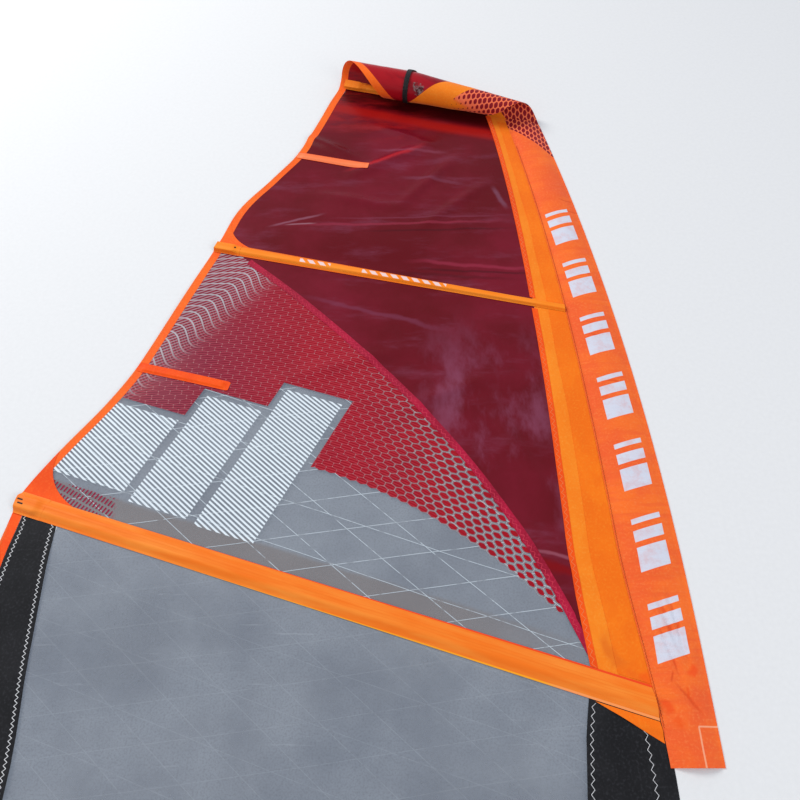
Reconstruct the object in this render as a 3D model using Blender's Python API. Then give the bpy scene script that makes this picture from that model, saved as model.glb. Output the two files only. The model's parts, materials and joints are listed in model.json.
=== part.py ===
"""A windsurf sail laid flat on the ground, with its head rolled up.

Metres, +Z up, +Y from the tack to the head, +X towards the luff's front edge. The origin is on the
underside of the tack fairing, below the mast base.
"""

import math

import bmesh
import bpy
from mathutils import Matrix, Vector

# Cloth, film and fit
FIT_GAP = 0.0003
FILM_THICK = 0.0006
TAPE_THICK = 0.0005
SLEEVE_THICK = 0.0007
POCKET_THICK = 0.0006
SEAM_GAP = 0.0024
EDGE_STEPS = 20

# Luff: the sleeve's front edge
LUFF_REACH = 0.102
LUFF_PEAK = 1.85
LUFF_CURVE_ABOVE = 0.058
LUFF_CURVE_BELOW = 0.0137

# Sleeve: flat width at its heights, the loft of its face, and its sewn flange
SLEEVE_FOOT_WIDTH = 0.140
SLEEVE_CUTOUT_WIDTH = 0.112
SLEEVE_FULL_WIDTH = 0.150
SLEEVE_HEAD_WIDTH = 0.108
SLEEVE_FULL_HEIGHT = 2.15
SLEEVE_LOFT = 0.014
SLEEVE_FLANGE = 0.008
SLEEVE_HEM_SHARE = 0.07
SLEEVE_CROWN_POWER = 0.75
SLEEVE_CROWN_STEPS = 8
CUTOUT_LOW = 1.16
CUTOUT_HIGH = 1.62
HEAD_HEIGHT = 3.75

# Luff panel: width from the sleeve's rear seam to the film
PANEL_FOOT_WIDTH = 0.105
PANEL_BOOM_WIDTH = 0.132
PANEL_HEAD_WIDTH = 0.066
BOOM_PATCH_LOW = 1.02
BOOM_PATCH_STATIONS = ((1.02, 0.0), (1.20, 0.055), (1.45, 0.080), (1.66, 0.056), (1.76, 0.028))
TACK_PATCH_HIGH = 0.30
LUFF_TAPE_WIDTH = 0.017

# Leech: the distance of its edge from the mast line at each height
CLEW_HEIGHT = 1.45
CLEW_REACH = 1.68
LEECH_STATIONS = (
    (CLEW_HEIGHT, CLEW_REACH),
    (2.24, 1.615),
    (2.36, 1.552),
    (2.56, 1.424),
    (2.67, 1.372),
    (3.13, 1.205),
    (3.29, 1.148),
    (3.42, 1.062),
    (3.55, 0.975),
    (3.915, 0.845),
)
LEECH_TAPE_WIDTH = 0.028
FOOT_ROUND = 1.6
FOOT_CORNER_TRIM = 0.004
FOOT_TAPE_END = 0.002
CLEW_PATCH_ROOM = 0.004
CLEW_PATCH_STATIONS = ((1.04, 0.016), (1.25, 0.11), (1.50, 0.19), (1.85, 0.15), (2.24, 0.095))

# Diagonal seam between the film and the ply, from its foot on the luff seam to its head by the leech tape
DIAGONAL_FOOT = 1.845
DIAGONAL_FOOT_REACH = 0.1573
DIAGONAL_HEAD_SETBACK = 0.0298615
DIAGONAL_CURVE = 0.344
DIAGONAL_TAPE_WIDTH = 0.021
DIAGONAL_TAPE_SETBACK = 0.104
DIAGONAL_START = 0.020

# Full battens: height of each on the mast line, rise towards the leech, pocket half widths
BATTEN_LINES = {
    "foot": (0.60, 0.19),
    "boom": (1.743, 0.308),
    "upper": (2.850, 0.226),
}
POCKET_HALVES = {
    "foot": (0.022, 0.018),
    "boom": (0.029, 0.035),
    "upper": (0.0205, 0.0125),
    "head": (0.017, 0.015),
}
BATTEN_WIDTH = 0.012
BATTEN_HEIGHT = 0.007
BATTEN_CLEARANCE = 0.0012
BATTEN_TRAVEL = 0.012
BATTEN_END_GAP = 0.004
POCKET_END_GAP = 0.002
BATTEN_SIDES = 10
ARCH_STEPS = 8
ARCH_POWER = 0.8
FOOT_BATTEN_SETBACK = 0.006
HEAD_BATTEN_OVERHANG = 0.006

# Batten tensioners
HOUSING_LENGTH = 0.050
HOUSING_WIDTH = 0.024
HOUSING_HEIGHT = 0.0112
HOUSING_INSET = 0.004
HOUSING_NECK = 0.012
HOUSING_CHAMFER = 0.002
BATTEN_SETBACK = 0.0015
SCREW_RECESS = 0.0015
SCREW_RADIUS = 0.0016
SCREW_HEAD_RADIUS = 0.0029
SCREW_HEAD_LENGTH = 0.007
SCREW_LENGTH = 0.036
SCREW_CLEARANCE = 0.0004
HEX_SOCKET_RADIUS = 0.0014
HEX_SOCKET_DEPTH = 0.004

# Mini battens at the leech: height on the mast line, rise, pocket length
MINI_LINES = {"lower": (2.314, 0.251, 0.285), "upper": (3.322, 0.233, 0.262)}
MINI_POCKET_WIDTH = 0.030
MINI_BATTEN_WIDTH = 0.012
MINI_BATTEN_HEIGHT = 0.0022
MINI_END_MARGIN = 0.022
MINI_POCKET_SET = 0.002
MINI_POCKET_TAPER = 0.008
MINI_POCKET_TIP = 0.72
MINI_POCKET_WALL = 0.001

# Clew eyelets
EYELET_BORE = 0.009
EYELET_FLANGE = 0.016
EYELET_NECK = 0.0115
EYELET_RIM = 0.0018
EYELET_SPACING = 0.060
EYELET_INSET = 0.060
EYELET_RISE = 0.012
EYELET_LEAN = 0.010
EYELET_EDGE = 0.0008

# Tack: fairing, pulley block and webbing
FAIRING_LOW = -0.130
FAIRING_HIGH = 0.090
FAIRING_FRONT = 0.075
FAIRING_THICK = 0.003
FLAP_LOFT = 0.048
FLAP_MARGIN = 0.004
FLAP_SWEEP_STEPS = 14
WEBBING_THICK = 0.0012
WEBBING_WIDTH = 0.030
WEBBING_LOW = -0.012
BLOCK_WIDTH = 0.052
BLOCK_LENGTH = 0.032
BLOCK_WALL = 0.0018
BLOCK_HEIGHT = 0.022
BLOCK_REAR = 0.016
AXLE_RADIUS = 0.003
AXLE_HEAD_RADIUS = 0.0045
AXLE_HEAD_LENGTH = 0.0015
SHEAVE_RADIUS = 0.007
SHEAVE_GROOVE = 0.0052
SHEAVE_COUNT = 3
SHEAVE_SPACE = 0.0006
SHEAVE_RIM_SHARE = 0.2
SHEAVE_GROOVE_SHARE = 0.45
RUNNING_GAP = 0.0001
ROUND_SIDES = 24

# Head roll: the line where the sail leaves the ground, its turn, radii and pitch
ROLL_X = -0.565
ROLL_Y = 3.84
ROLL_SLANT = math.radians(15)
ROLL_RADIUS = 0.0635
ROLL_TAPER = 0.055
ROLL_PITCH = 0.014
ROLL_STEP = 15.0
ROLL_ALONG_STEPS = 6
EDGE_TURN = 325.0
FILM_EDGE_RUN = 0.374
FILM_EDGE_CURVE = 0.064
SLEEVE_EDGE_RUN = 0.124
SLEEVE_EDGE_CURVE = 0.075
FILM_END_TURN = 315.0
TAPE_END_TURN = 330.0
PANEL_END_TURN = 405.0
SLEEVE_END_TURN = 465.0
LEECH_SHIFT = 0.21
LEECH_SHIFT_START = 60.0
LEECH_SHIFT_SPAN = 270.0
LEECH_TAPE_LAG = 0.91
SLEEVE_LAYERS = 0.0016
STRAP_ALONG = -0.014
STRAP_WIDTH = 0.018
STRAP_THICK = 0.0016
STRAP_LEAN = 0.040
STRAP_LEAN_SHARE = 0.42
STRAP_CLEARANCE = 0.0012
STRAP_START_TURN = 45.0
STRAP_END_TURN = 318.0
HEAD_BATTEN_TURN = 25.0
HEAD_BATTEN_END = 0.235

# Head cap and its webbing, inside the roll
CAP_RADIUS = 0.014
CAP_BORE = 0.0105
CAP_LENGTH = 0.036
CAP_FLOOR = 0.004
HEAD_CAP_TURN = 385.0
HEAD_WEBBING_WIDTH = 0.020
HEAD_WEBBING_LENGTH = 0.060

UP = Vector((0, 0, 1))
LOW_LAYER = FILM_THICK + FIT_GAP

PAINTS = {
    "coral": ((1.0, 0.20, 0.06), 0.65, 0.0),
    "amber": ((1.0, 0.27, 0.01), 0.55, 0.0),
    "red_orange": ((1.0, 0.08, 0.01), 0.55, 0.0),
    "film_red": ((0.16, 0.008, 0.02), 0.18, 0.0),
    "ply": ((0.45, 0.05, 0.07), 0.35, 0.0),
    "window": ((0.35, 0.40, 0.45), 0.15, 0.0),
    "crimson": ((0.55, 0.01, 0.03), 0.5, 0.0),
    "black": ((0.02, 0.02, 0.022), 0.7, 0.0),
    "batten": ((0.05, 0.05, 0.055), 0.35, 0.0),
    "plastic": ((0.03, 0.03, 0.03), 0.4, 0.0),
    "steel": ((0.62, 0.62, 0.63), 0.25, 1.0),
    "foam": ((0.10, 0.10, 0.11), 0.8, 0.0),
}


def clear_scene():
    for thing in list(bpy.data.objects):
        bpy.data.objects.remove(thing, do_unlink=True)


def paint(name, kind):
    colour, roughness, metallic = PAINTS[kind]
    material = bpy.data.materials.new(name)
    material.use_nodes = True
    shader = material.node_tree.nodes["Principled BSDF"]
    shader.inputs["Base Color"].default_value = (*colour, 1.0)
    shader.inputs["Roughness"].default_value = roughness
    shader.inputs["Metallic"].default_value = metallic
    return material


def loft(name, loops, kind, ring=False, smooth=False):
    """A closed body through loops of equal length, capped at both ends or joined up as a ring."""
    body = bmesh.new()
    rows = [[body.verts.new(point) for point in loop] for loop in loops]
    pairs = list(zip(rows, rows[1:]))
    if ring:
        pairs.append((rows[-1], rows[0]))
    else:
        body.faces.new(rows[0])
        body.faces.new(rows[-1])
    for one, two in pairs:
        for i in range(len(one)):
            j = (i + 1) % len(one)
            body.faces.new((one[i], one[j], two[j], two[i]))
    bmesh.ops.recalc_face_normals(body, faces=body.faces)
    mesh = bpy.data.meshes.new(name)
    body.to_mesh(mesh)
    body.free()
    if smooth:
        mesh.shade_smooth()
        mesh.set_sharp_from_angle(angle=math.radians(35))
    piece = bpy.data.objects.new(name, mesh)
    piece.data.materials.append(paint(name, kind))
    bpy.context.scene.collection.objects.link(piece)
    return piece


def pivot(piece, point):
    """Puts a piece's origin on its joint's axis and leaves its shape where it is."""
    piece.data.transform(Matrix.Translation(-point))
    piece.location = point


def through(stations, height):
    """Smooth value through (height, value) stations, straight past both ends."""
    count = len(stations)

    def slope(i):
        low = stations[max(i - 1, 0)]
        high = stations[min(i + 1, count - 1)]
        return (high[1] - low[1]) / (high[0] - low[0])

    if height <= stations[0][0]:
        return stations[0][1] + slope(0) * (height - stations[0][0])
    if height >= stations[-1][0]:
        return stations[-1][1] + slope(count - 1) * (height - stations[-1][0])
    i = max(k for k in range(count - 1) if stations[k][0] <= height)
    span = stations[i + 1][0] - stations[i][0]
    t = (height - stations[i][0]) / span
    start = (2 * t**3 - 3 * t**2 + 1) * stations[i][1]
    start_slope = (t**3 - 2 * t**2 + t) * span * slope(i)
    end = (-2 * t**3 + 3 * t**2) * stations[i + 1][1]
    end_slope = (t**3 - t**2) * span * slope(i + 1)
    return start + start_slope + end + end_slope


def eased(t):
    t = min(max(t, 0.0), 1.0)
    return t * t * (3 - 2 * t)


def line(height, rise):
    """A straight line across the sail that climbs towards the leech."""
    return lambda x: height - rise * x


def shifted(edge, by):
    return lambda y: edge(y) + by


def meet(edge, across):
    """The height where an edge, x of y, meets a line, y of x."""
    height = across(0.0)
    for _ in range(60):
        height = across(edge(height))
    return height


# Edges of the sail, each x as a function of y


def luff_front(y):
    rise = y - LUFF_PEAK
    curve = LUFF_CURVE_ABOVE if rise > 0 else LUFF_CURVE_BELOW
    return LUFF_REACH - curve * rise * rise


def sleeve_rear(y):
    widths = (
        (0.0, SLEEVE_FOOT_WIDTH),
        (CUTOUT_LOW, (SLEEVE_FOOT_WIDTH + SLEEVE_CUTOUT_WIDTH) / 2),
        (CUTOUT_HIGH, SLEEVE_CUTOUT_WIDTH),
        (SLEEVE_FULL_HEIGHT, SLEEVE_FULL_WIDTH),
        (HEAD_HEIGHT, SLEEVE_HEAD_WIDTH),
    )
    return luff_front(y) - through(widths, y)


def film_edge(y):
    widths = (
        (0.0, PANEL_FOOT_WIDTH),
        (BOOM_PATCH_LOW, PANEL_FOOT_WIDTH),
        (LUFF_PEAK, PANEL_BOOM_WIDTH),
        (HEAD_HEIGHT, PANEL_HEAD_WIDTH),
    )
    return sleeve_rear(y) - through(widths, y)


def boom_patch_edge(y):
    """The rear edge of the patch at the boom cut-out, which flares out beside it."""
    return film_edge(y) - max(through(BOOM_PATCH_STATIONS, y), 0.0)


def leech_outer(y):
    return -through(LEECH_STATIONS, y)


def leech_inner(y):
    return leech_outer(y) + LEECH_TAPE_WIDTH


def foot_point(angle, inset):
    """A point of the foot's round, from the clew at 0 to the tack patch at 90 degrees."""
    power = 2 / FOOT_ROUND
    centre = film_edge(0.0)
    reach = CLEW_REACH + centre - inset
    drop = CLEW_HEIGHT - inset
    across = math.cos(angle) ** power if angle < math.pi / 2 else 0.0
    return centre - reach * across, CLEW_HEIGHT - drop * math.sin(angle) ** power


def foot_inner(y):
    drop = (CLEW_HEIGHT - y) / (CLEW_HEIGHT - LEECH_TAPE_WIDTH)
    centre = film_edge(0.0)
    reach = CLEW_REACH + centre - LEECH_TAPE_WIDTH
    share = max(1 - min(drop, 1.0) ** FOOT_ROUND, 0.0)
    return centre - reach * share ** (1 / FOOT_ROUND)


def rim_inner(y):
    return leech_inner(y) if y >= CLEW_HEIGHT else foot_inner(y)


def clew_patch_edge(y):
    low = CLEW_PATCH_STATIONS[0]
    if y < low[0]:
        return rim_inner(y)
    return rim_inner(y) + through(CLEW_PATCH_STATIONS, y)


def diagonal_lean():
    """The slope at the foot that brings the head to its setback from the leech tape at the upper batten."""
    head = meet(shifted(leech_inner, DIAGONAL_HEAD_SETBACK), upper_line)
    reach = -leech_inner(head) - DIAGONAL_HEAD_SETBACK
    rise = head - DIAGONAL_FOOT
    return (reach - DIAGONAL_FOOT_REACH) / rise - DIAGONAL_CURVE * rise


def diagonal(y):
    rise = y - DIAGONAL_FOOT
    if rise < 0:
        return -DIAGONAL_FOOT_REACH
    return -DIAGONAL_FOOT_REACH - DIAGONAL_LEAN * rise - DIAGONAL_CURVE * rise * rise


def ply_edge(y):
    return min(diagonal(y), film_edge(y))


foot_line = line(*BATTEN_LINES["foot"])
boom_line = line(*BATTEN_LINES["boom"])
upper_line = line(*BATTEN_LINES["upper"])
ROLL_ALONG = Vector((math.cos(ROLL_SLANT), -math.sin(ROLL_SLANT), 0))
ROLL_AHEAD = Vector((math.sin(ROLL_SLANT), math.cos(ROLL_SLANT), 0))
ROLL_POINT = Vector((ROLL_X, ROLL_Y, 0))
roll_line = line(ROLL_Y + ROLL_X * math.tan(ROLL_SLANT), math.tan(ROLL_SLANT))
DIAGONAL_LEAN = diagonal_lean()


def level(y):
    return lambda x: y


def above(across, by=FIT_GAP / 2):
    return lambda x: across(x) + by


def below(across, by=FIT_GAP / 2):
    return lambda x: across(x) - by


# Panels and tapes


def swath(name, left, right, low, high, profile, kind, steps=EDGE_STEPS):
    """A body between two edges and two lines. The profile gives (share of the width, z) points."""
    loops = [[] for _ in range(steps + 1)]
    for share, z in profile:

        def edge(y, share=share):
            return left(y) + (right(y) - left(y)) * share

        start = meet(edge, low)
        end = meet(edge, high)
        for i, loop in enumerate(loops):
            y = start + (end - start) * i / steps
            loop.append((edge(y), y, z))
    return loft(name, loops, kind)


def flat(base, thick):
    return ((0, base), (1, base), (1, base + thick), (0, base + thick))


def panel(name, left, right, low, high, kind, steps=EDGE_STEPS):
    gap = SEAM_GAP / 2
    left_in, right_in = shifted(left, gap), shifted(right, -gap)
    return swath(name, left_in, right_in, low, high, flat(0, FILM_THICK), kind, steps)


def make_panels():
    roll, upper, boom = below(roll_line), below(upper_line), below(boom_line)
    patch_low, tack_high = level(BOOM_PATCH_LOW), level(TACK_PATCH_HIGH)
    patch_edge = shifted(clew_patch_edge, -CLEW_PATCH_ROOM)
    panel("film_panel_upper", leech_inner, film_edge, above(upper_line), roll, "film_red")
    make_film_middle()
    panel("ply_panel_leech", leech_inner, ply_edge, above(boom_line), upper, "ply", 2 * EDGE_STEPS)
    panel("window_panel", clew_patch_edge, boom_patch_edge, above(foot_line), boom, "window")
    panel("clew_patch", rim_inner, patch_edge, level(CLEW_PATCH_STATIONS[0][0]), boom, "black")
    panel("luff_panel_upper", film_edge, sleeve_rear, above(boom_line), roll, "amber")
    panel("boom_luff_patch", boom_patch_edge, sleeve_rear, above(patch_low), boom, "black")
    panel("luff_panel_lower", film_edge, sleeve_rear, above(tack_high), below(patch_low), "amber")
    panel("tack_patch", film_edge, sleeve_rear, level(0.0), below(tack_high), "black")
    make_foot_panel()


def make_film_middle():
    """The three-cornered film between the diagonal seam, the luff seam and the upper batten."""
    gap = SEAM_GAP / 2
    boom = above(boom_line)
    low = lambda x: max(DIAGONAL_FOOT + DIAGONAL_START, boom(x))
    left, right = shifted(diagonal, gap), shifted(film_edge, -gap)
    swath("film_panel_middle", left, right, low, below(upper_line), flat(0, FILM_THICK), "film_red")


def foot_low(x, inset):
    """Height of the foot's round above a place across the sail."""
    centre = film_edge(0.0)
    share = (centre - x) / (CLEW_REACH + centre - inset)
    return CLEW_HEIGHT - (CLEW_HEIGHT - inset) * (1 - min(share, 1.0) ** FOOT_ROUND) ** (1 / FOOT_ROUND)


def make_foot_panel():
    """The panel below the foot batten, bounded by the foot's round."""
    gap = SEAM_GAP / 2
    top = below(foot_line)
    corner = foot_inner(meet(foot_inner, top)) + FOOT_CORNER_TRIM
    low_last = film_edge(0.0) - gap
    top_last = film_edge(meet(film_edge, top)) - gap
    loops = []
    for i in range(2 * EDGE_STEPS + 1):
        share = i / (2 * EDGE_STEPS)
        low_x = corner + (low_last - corner) * share
        top_x = corner + (top_last - corner) * share
        low = (low_x, foot_low(low_x, LEECH_TAPE_WIDTH + gap))
        high = (top_x, top(top_x))
        loops.append([(*low, 0), (*high, 0), (*high, FILM_THICK), (*low, FILM_THICK)])
    loft("foot_panel", loops, "coral")


def strip_along(name, points, width, base, thick, kind):
    """A flat strip of even width along a plan of points."""
    loops = []
    for i, point in enumerate(points):
        ahead = points[min(i + 1, len(points) - 1)]
        behind = points[max(i - 1, 0)]
        along = Vector((ahead[0] - behind[0], ahead[1] - behind[1])).normalized()
        side = Vector((-along.y, along.x)) * width / 2
        one = (point[0] - side.x, point[1] - side.y)
        two = (point[0] + side.x, point[1] + side.y)
        loops.append([(*one, base), (*two, base), (*two, base + thick), (*one, base + thick)])
    return loft(name, loops, kind)


def make_tapes():
    tape = flat(0, FILM_THICK)
    leech_in = shifted(leech_inner, -SEAM_GAP / 4)
    over_boom, to_roll = above(boom_line), below(roll_line)
    from_clew, to_boom = above(level(CLEW_HEIGHT)), below(boom_line)
    swath("leech_tape_upper", leech_outer, leech_in, over_boom, to_roll, tape, "amber", 3 * EDGE_STEPS)
    swath("leech_tape_lower", leech_outer, leech_in, from_clew, to_boom, tape, "amber", EDGE_STEPS // 3)
    make_foot_tape()
    make_seam_tapes()


def make_foot_tape():
    inset = LEECH_TAPE_WIDTH - FIT_GAP / 2
    loops = []
    for i in range(EDGE_STEPS + 1):
        share = FOOT_TAPE_END + (1 - 2 * FOOT_TAPE_END) * i / EDGE_STEPS
        one = foot_point(math.pi / 2 * share, 0)
        two = foot_point(math.pi / 2 * share, inset)
        loops.append([(*one, 0), (*two, 0), (*two, FILM_THICK), (*one, FILM_THICK)])
    loft("foot_tape", loops, "amber")


def make_seam_tapes():
    upper_half = POCKET_HALVES["upper"][0] + FIT_GAP
    boom_half = POCKET_HALVES["boom"][1] * math.hypot(1, BATTEN_LINES["boom"][1]) + 2 * FIT_GAP
    seam = flat(LOW_LAYER, TAPE_THICK)
    half = LUFF_TAPE_WIDTH / 2
    left = shifted(film_edge, -half)
    right = shifted(film_edge, half)
    over_boom = above(boom_line, boom_half)
    under_upper = below(upper_line, upper_half)
    over_upper = above(upper_line, upper_half)
    swath("luff_seam_tape_lower", left, right, over_boom, under_upper, seam, "red_orange")
    swath("luff_seam_tape_upper", left, right, over_upper, below(roll_line), seam, "red_orange")
    clear_of_boom = meet(diagonal, over_boom) + DIAGONAL_TAPE_WIDTH
    start = max(DIAGONAL_FOOT + DIAGONAL_TAPE_SETBACK, clear_of_boom)
    end = meet(diagonal, under_upper) - DIAGONAL_TAPE_WIDTH
    heights = [start + (end - start) * i / EDGE_STEPS for i in range(EDGE_STEPS + 1)]
    points = [(diagonal(y), y) for y in heights]
    strip_along("diagonal_seam_tape", points, DIAGONAL_TAPE_WIDTH, LOW_LAYER, TAPE_THICK, "crimson")


# Mast sleeve


def sleeve_face(name, low, high, steps):
    base = LOW_LAYER
    crown = SLEEVE_CROWN_STEPS
    hem = SLEEVE_HEM_SHARE
    under = [(0.0, base)]
    for i in range(crown + 1):
        arch = math.sin(math.pi * i / crown) ** SLEEVE_CROWN_POWER if 0 < i < crown else 0.0
        under.append((hem + (1 - 2 * hem) * i / crown, base + SLEEVE_LOFT * arch))
    under.append((1.0, base))
    over = [(share, z + SLEEVE_THICK) for share, z in reversed(under)]
    rear = shifted(sleeve_rear, -SLEEVE_FLANGE)
    return swath(name, rear, luff_front, low, high, under + over, "coral", steps)


def sleeve_back(name, low, high, steps):
    rear = shifted(sleeve_rear, SEAM_GAP / 2)
    return swath(name, rear, luff_front, low, high, flat(0, FILM_THICK), "coral", steps)


def make_sleeve():
    sleeve_face("sleeve_upper_face", level(CUTOUT_HIGH), below(roll_line), EDGE_STEPS)
    sleeve_back("sleeve_upper_back", level(CUTOUT_HIGH), below(roll_line), EDGE_STEPS)
    low = level(FAIRING_HIGH + FIT_GAP)
    sleeve_face("sleeve_lower_face", low, level(CUTOUT_LOW), EDGE_STEPS // 3)
    sleeve_back("sleeve_lower_back", low, level(CUTOUT_LOW), EDGE_STEPS // 3)


# Battens, pockets and tensioners, each in its own frame


class Frame:
    """Along a batten towards the luff, across it up the sail, and away from the cloth."""

    def __init__(self, start, along, across, away):
        self.start, self.along, self.across, self.away = start, along, across, away

    def at(self, q, c, h):
        return self.start + self.along * q + self.across * c + self.away * h


def leech_frame(height, rise):
    across_line = line(height, rise)
    y = meet(leech_outer, across_line)
    along = Vector((1, -rise, 0)).normalized()
    return Frame(Vector((leech_outer(y), y, 0)), along, Vector((-along.y, along.x, 0)), UP)


def reach_to(frame, edge, height, rise, c=0.0):
    """Distance from the leech to an edge, along a line beside the batten."""
    beside = line(height + c * math.hypot(1, rise), rise)
    y = meet(edge, beside)
    return (Vector((edge(y), y, 0)) - frame.start).dot(frame.along)


def oval(frame, q, half_width, half_height, centre):
    loop = []
    for i in range(BATTEN_SIDES):
        angle = 2 * math.pi * (i + 0.5) / BATTEN_SIDES
        loop.append(frame.at(q, half_width * math.cos(angle), centre + half_height * math.sin(angle)))
    return loop


def pocket(name, frame, stations, end_at, base):
    """An arched strip over a batten, from stations of (distance, half width) to where end_at cuts it."""
    half = BATTEN_WIDTH / 2 + 2 * BATTEN_CLEARANCE
    height = BATTEN_HEIGHT + BATTEN_CLEARANCE
    arch = []
    for i in range(ARCH_STEPS + 1):
        angle = math.pi * i / ARCH_STEPS
        rise = height * math.sin(angle) ** ARCH_POWER if 0 < i < ARCH_STEPS else 0.0
        arch.append((-half * math.cos(angle), rise))
    loops = []
    for number, (q, strip_half) in enumerate(stations):
        last = number == len(stations) - 1
        under = [(-strip_half, 0.0)] + arch + [(strip_half, 0.0)]
        over = [(c, h + POCKET_THICK) for c, h in reversed(under)]
        loops.append([frame.at(end_at(c) if last else q, c, base + h) for c, h in under + over])
    return loft(name, loops, "amber")


BATTEN_CENTRE = BATTEN_HEIGHT / 2 + FIT_GAP
HOUSING_END = HOUSING_INSET + HOUSING_LENGTH
NECK_END = HOUSING_INSET + HOUSING_NECK
BATTEN_START = NECK_END + BATTEN_SETBACK


def batten(name, frame, end, base):
    """A rod with a blind bore at the leech end that runs on the tensioner's screw."""
    centre = base + BATTEN_CENTRE
    bore = SCREW_RADIUS + SCREW_CLEARANCE
    depth = BATTEN_START + SCREW_LENGTH
    loops = [
        oval(frame, depth, bore, bore, centre),
        oval(frame, BATTEN_START, bore, bore, centre),
        oval(frame, BATTEN_START, BATTEN_WIDTH / 2, BATTEN_HEIGHT / 2, centre),
        oval(frame, end, BATTEN_WIDTH / 2, BATTEN_HEIGHT / 2, centre),
    ]
    pivot(loft(name, loops, "batten"), frame.at(BATTEN_START, 0, centre))


def boxy(frame, q, half_width, low, high):
    """A loop with the oval's point count on a rectangle."""
    centre = (low + high) / 2
    loop = []
    for i in range(BATTEN_SIDES):
        angle = 2 * math.pi * (i + 0.5) / BATTEN_SIDES
        c, h = math.cos(angle), math.sin(angle)
        scale = 1 / max(abs(c), abs(h))
        loop.append(frame.at(q, half_width * c * scale, centre + (high - low) / 2 * h * scale))
    return loop


def tensioner(number, frame, base):
    centre = base + BATTEN_CENTRE
    low, high = base, base + HOUSING_HEIGHT
    half = HOUSING_WIDTH / 2
    neck = SCREW_HEAD_RADIUS + SCREW_CLEARANCE
    room_half = BATTEN_WIDTH / 2 + BATTEN_CLEARANCE
    room_low = centre - BATTEN_HEIGHT / 2 - FIT_GAP * 0.75
    room_high = centre + (BATTEN_HEIGHT + BATTEN_CLEARANCE) / 2
    start, step, end = HOUSING_INSET, NECK_END, HOUSING_END
    loops = [
        boxy(frame, start, half - HOUSING_CHAMFER, low, high - HOUSING_CHAMFER / 2),
        boxy(frame, start + HOUSING_CHAMFER, half, low, high),
        boxy(frame, end, half, low, high),
        boxy(frame, end, room_half, room_low, room_high),
        boxy(frame, step, room_half, room_low, room_high),
        oval(frame, step, neck, neck, centre),
        oval(frame, start, neck, neck, centre),
    ]
    loft(f"tensioner_housing_{number}", loops, "plastic", ring=True)
    head = SCREW_HEAD_RADIUS
    first = start + SCREW_RECESS
    head_end = first + SCREW_HEAD_LENGTH
    tip = BATTEN_START + SCREW_LENGTH - SCREW_RECESS
    socket = HEX_SOCKET_RADIUS
    loops = [
        oval(frame, first + HEX_SOCKET_DEPTH, socket, socket, centre),
        oval(frame, first, socket, socket, centre),
        oval(frame, first, head, head, centre),
        oval(frame, head_end, head, head, centre),
        oval(frame, head_end, SCREW_RADIUS, SCREW_RADIUS, centre),
        oval(frame, tip, SCREW_RADIUS, SCREW_RADIUS, centre),
    ]
    pivot(loft(f"tensioner_screw_{number}", loops, "steel"), frame.at(BATTEN_START, 0, centre))


def make_batten_set(number, key, frame, end_at, base):
    wide, narrow = POCKET_HALVES[key]
    start = HOUSING_END + FIT_GAP
    reach = end_at(0.0)
    stations = [(start + (reach - start) * t, wide + (narrow - wide) * t) for t in (0, 0.25, 1)]
    pocket(f"batten_pocket_{number}", frame, stations, end_at, base)
    half = BATTEN_WIDTH / 2
    end = min(end_at(half), end_at(-half)) - BATTEN_TRAVEL - BATTEN_END_GAP
    batten(f"batten_{number}", frame, end, base)
    tensioner(number, frame, base)


def make_battens():
    rear = shifted(sleeve_rear, -SLEEVE_FLANGE - POCKET_END_GAP)
    for number, (key, (height, rise)) in enumerate(BATTEN_LINES.items(), 1):
        if key == "foot":
            frame = foot_frame(height, rise)
        else:
            frame = leech_frame(height, rise)

        def end_at(c, frame=frame, height=height, rise=rise):
            return reach_to(frame, rear, height, rise, c)

        make_batten_set(number, key, frame, end_at, LOW_LAYER)
    make_head_batten()


def foot_outer(y):
    return foot_inner(y) - LEECH_TAPE_WIDTH


def foot_frame(height, rise):
    across_line = line(height, rise)
    y = meet(foot_outer, across_line)
    along = Vector((1, -rise, 0)).normalized()
    start = Vector((foot_outer(y), y, 0)) + along * FOOT_BATTEN_SETBACK
    return Frame(start, along, Vector((-along.y, along.x, 0)), UP)


def make_mini_battens():
    for number, (height, rise, length) in enumerate(MINI_LINES.values(), 1):
        frame = leech_frame(height, rise)
        base = LOW_LAYER
        half = MINI_POCKET_WIDTH / 2
        room = MINI_BATTEN_WIDTH / 2 + BATTEN_CLEARANCE
        lift = MINI_BATTEN_HEIGHT + 2 * FIT_GAP
        wall = room + MINI_POCKET_WALL
        ends = (
            (MINI_POCKET_SET, MINI_POCKET_TIP),
            (MINI_POCKET_SET + MINI_POCKET_TAPER, 1.0),
            (length - MINI_POCKET_TAPER, 1.0),
            (length, MINI_POCKET_TIP),
        )
        loops = []
        for q, squeeze in ends:
            rim = half * squeeze
            under = [(-rim, 0), (-wall, 0), (-room, lift), (room, lift), (wall, 0), (rim, 0)]
            over = [(c, h + POCKET_THICK) for c, h in reversed(under)]
            loops.append([frame.at(q, c, base + h) for c, h in under + over])
        loft(f"mini_pocket_{number}", loops, "coral")
        make_mini_batten(number, frame, length, base + FIT_GAP)


def make_mini_batten(number, frame, length, low):
    half = MINI_BATTEN_WIDTH / 2
    high = low + MINI_BATTEN_HEIGHT
    section = ((-half, low), (half, low), (half, high), (-half, high))
    ends = (MINI_END_MARGIN, length - MINI_END_MARGIN)
    loft(f"mini_batten_{number}", [[frame.at(q, c, h) for c, h in section] for q in ends], "batten")


# Round pieces


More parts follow.
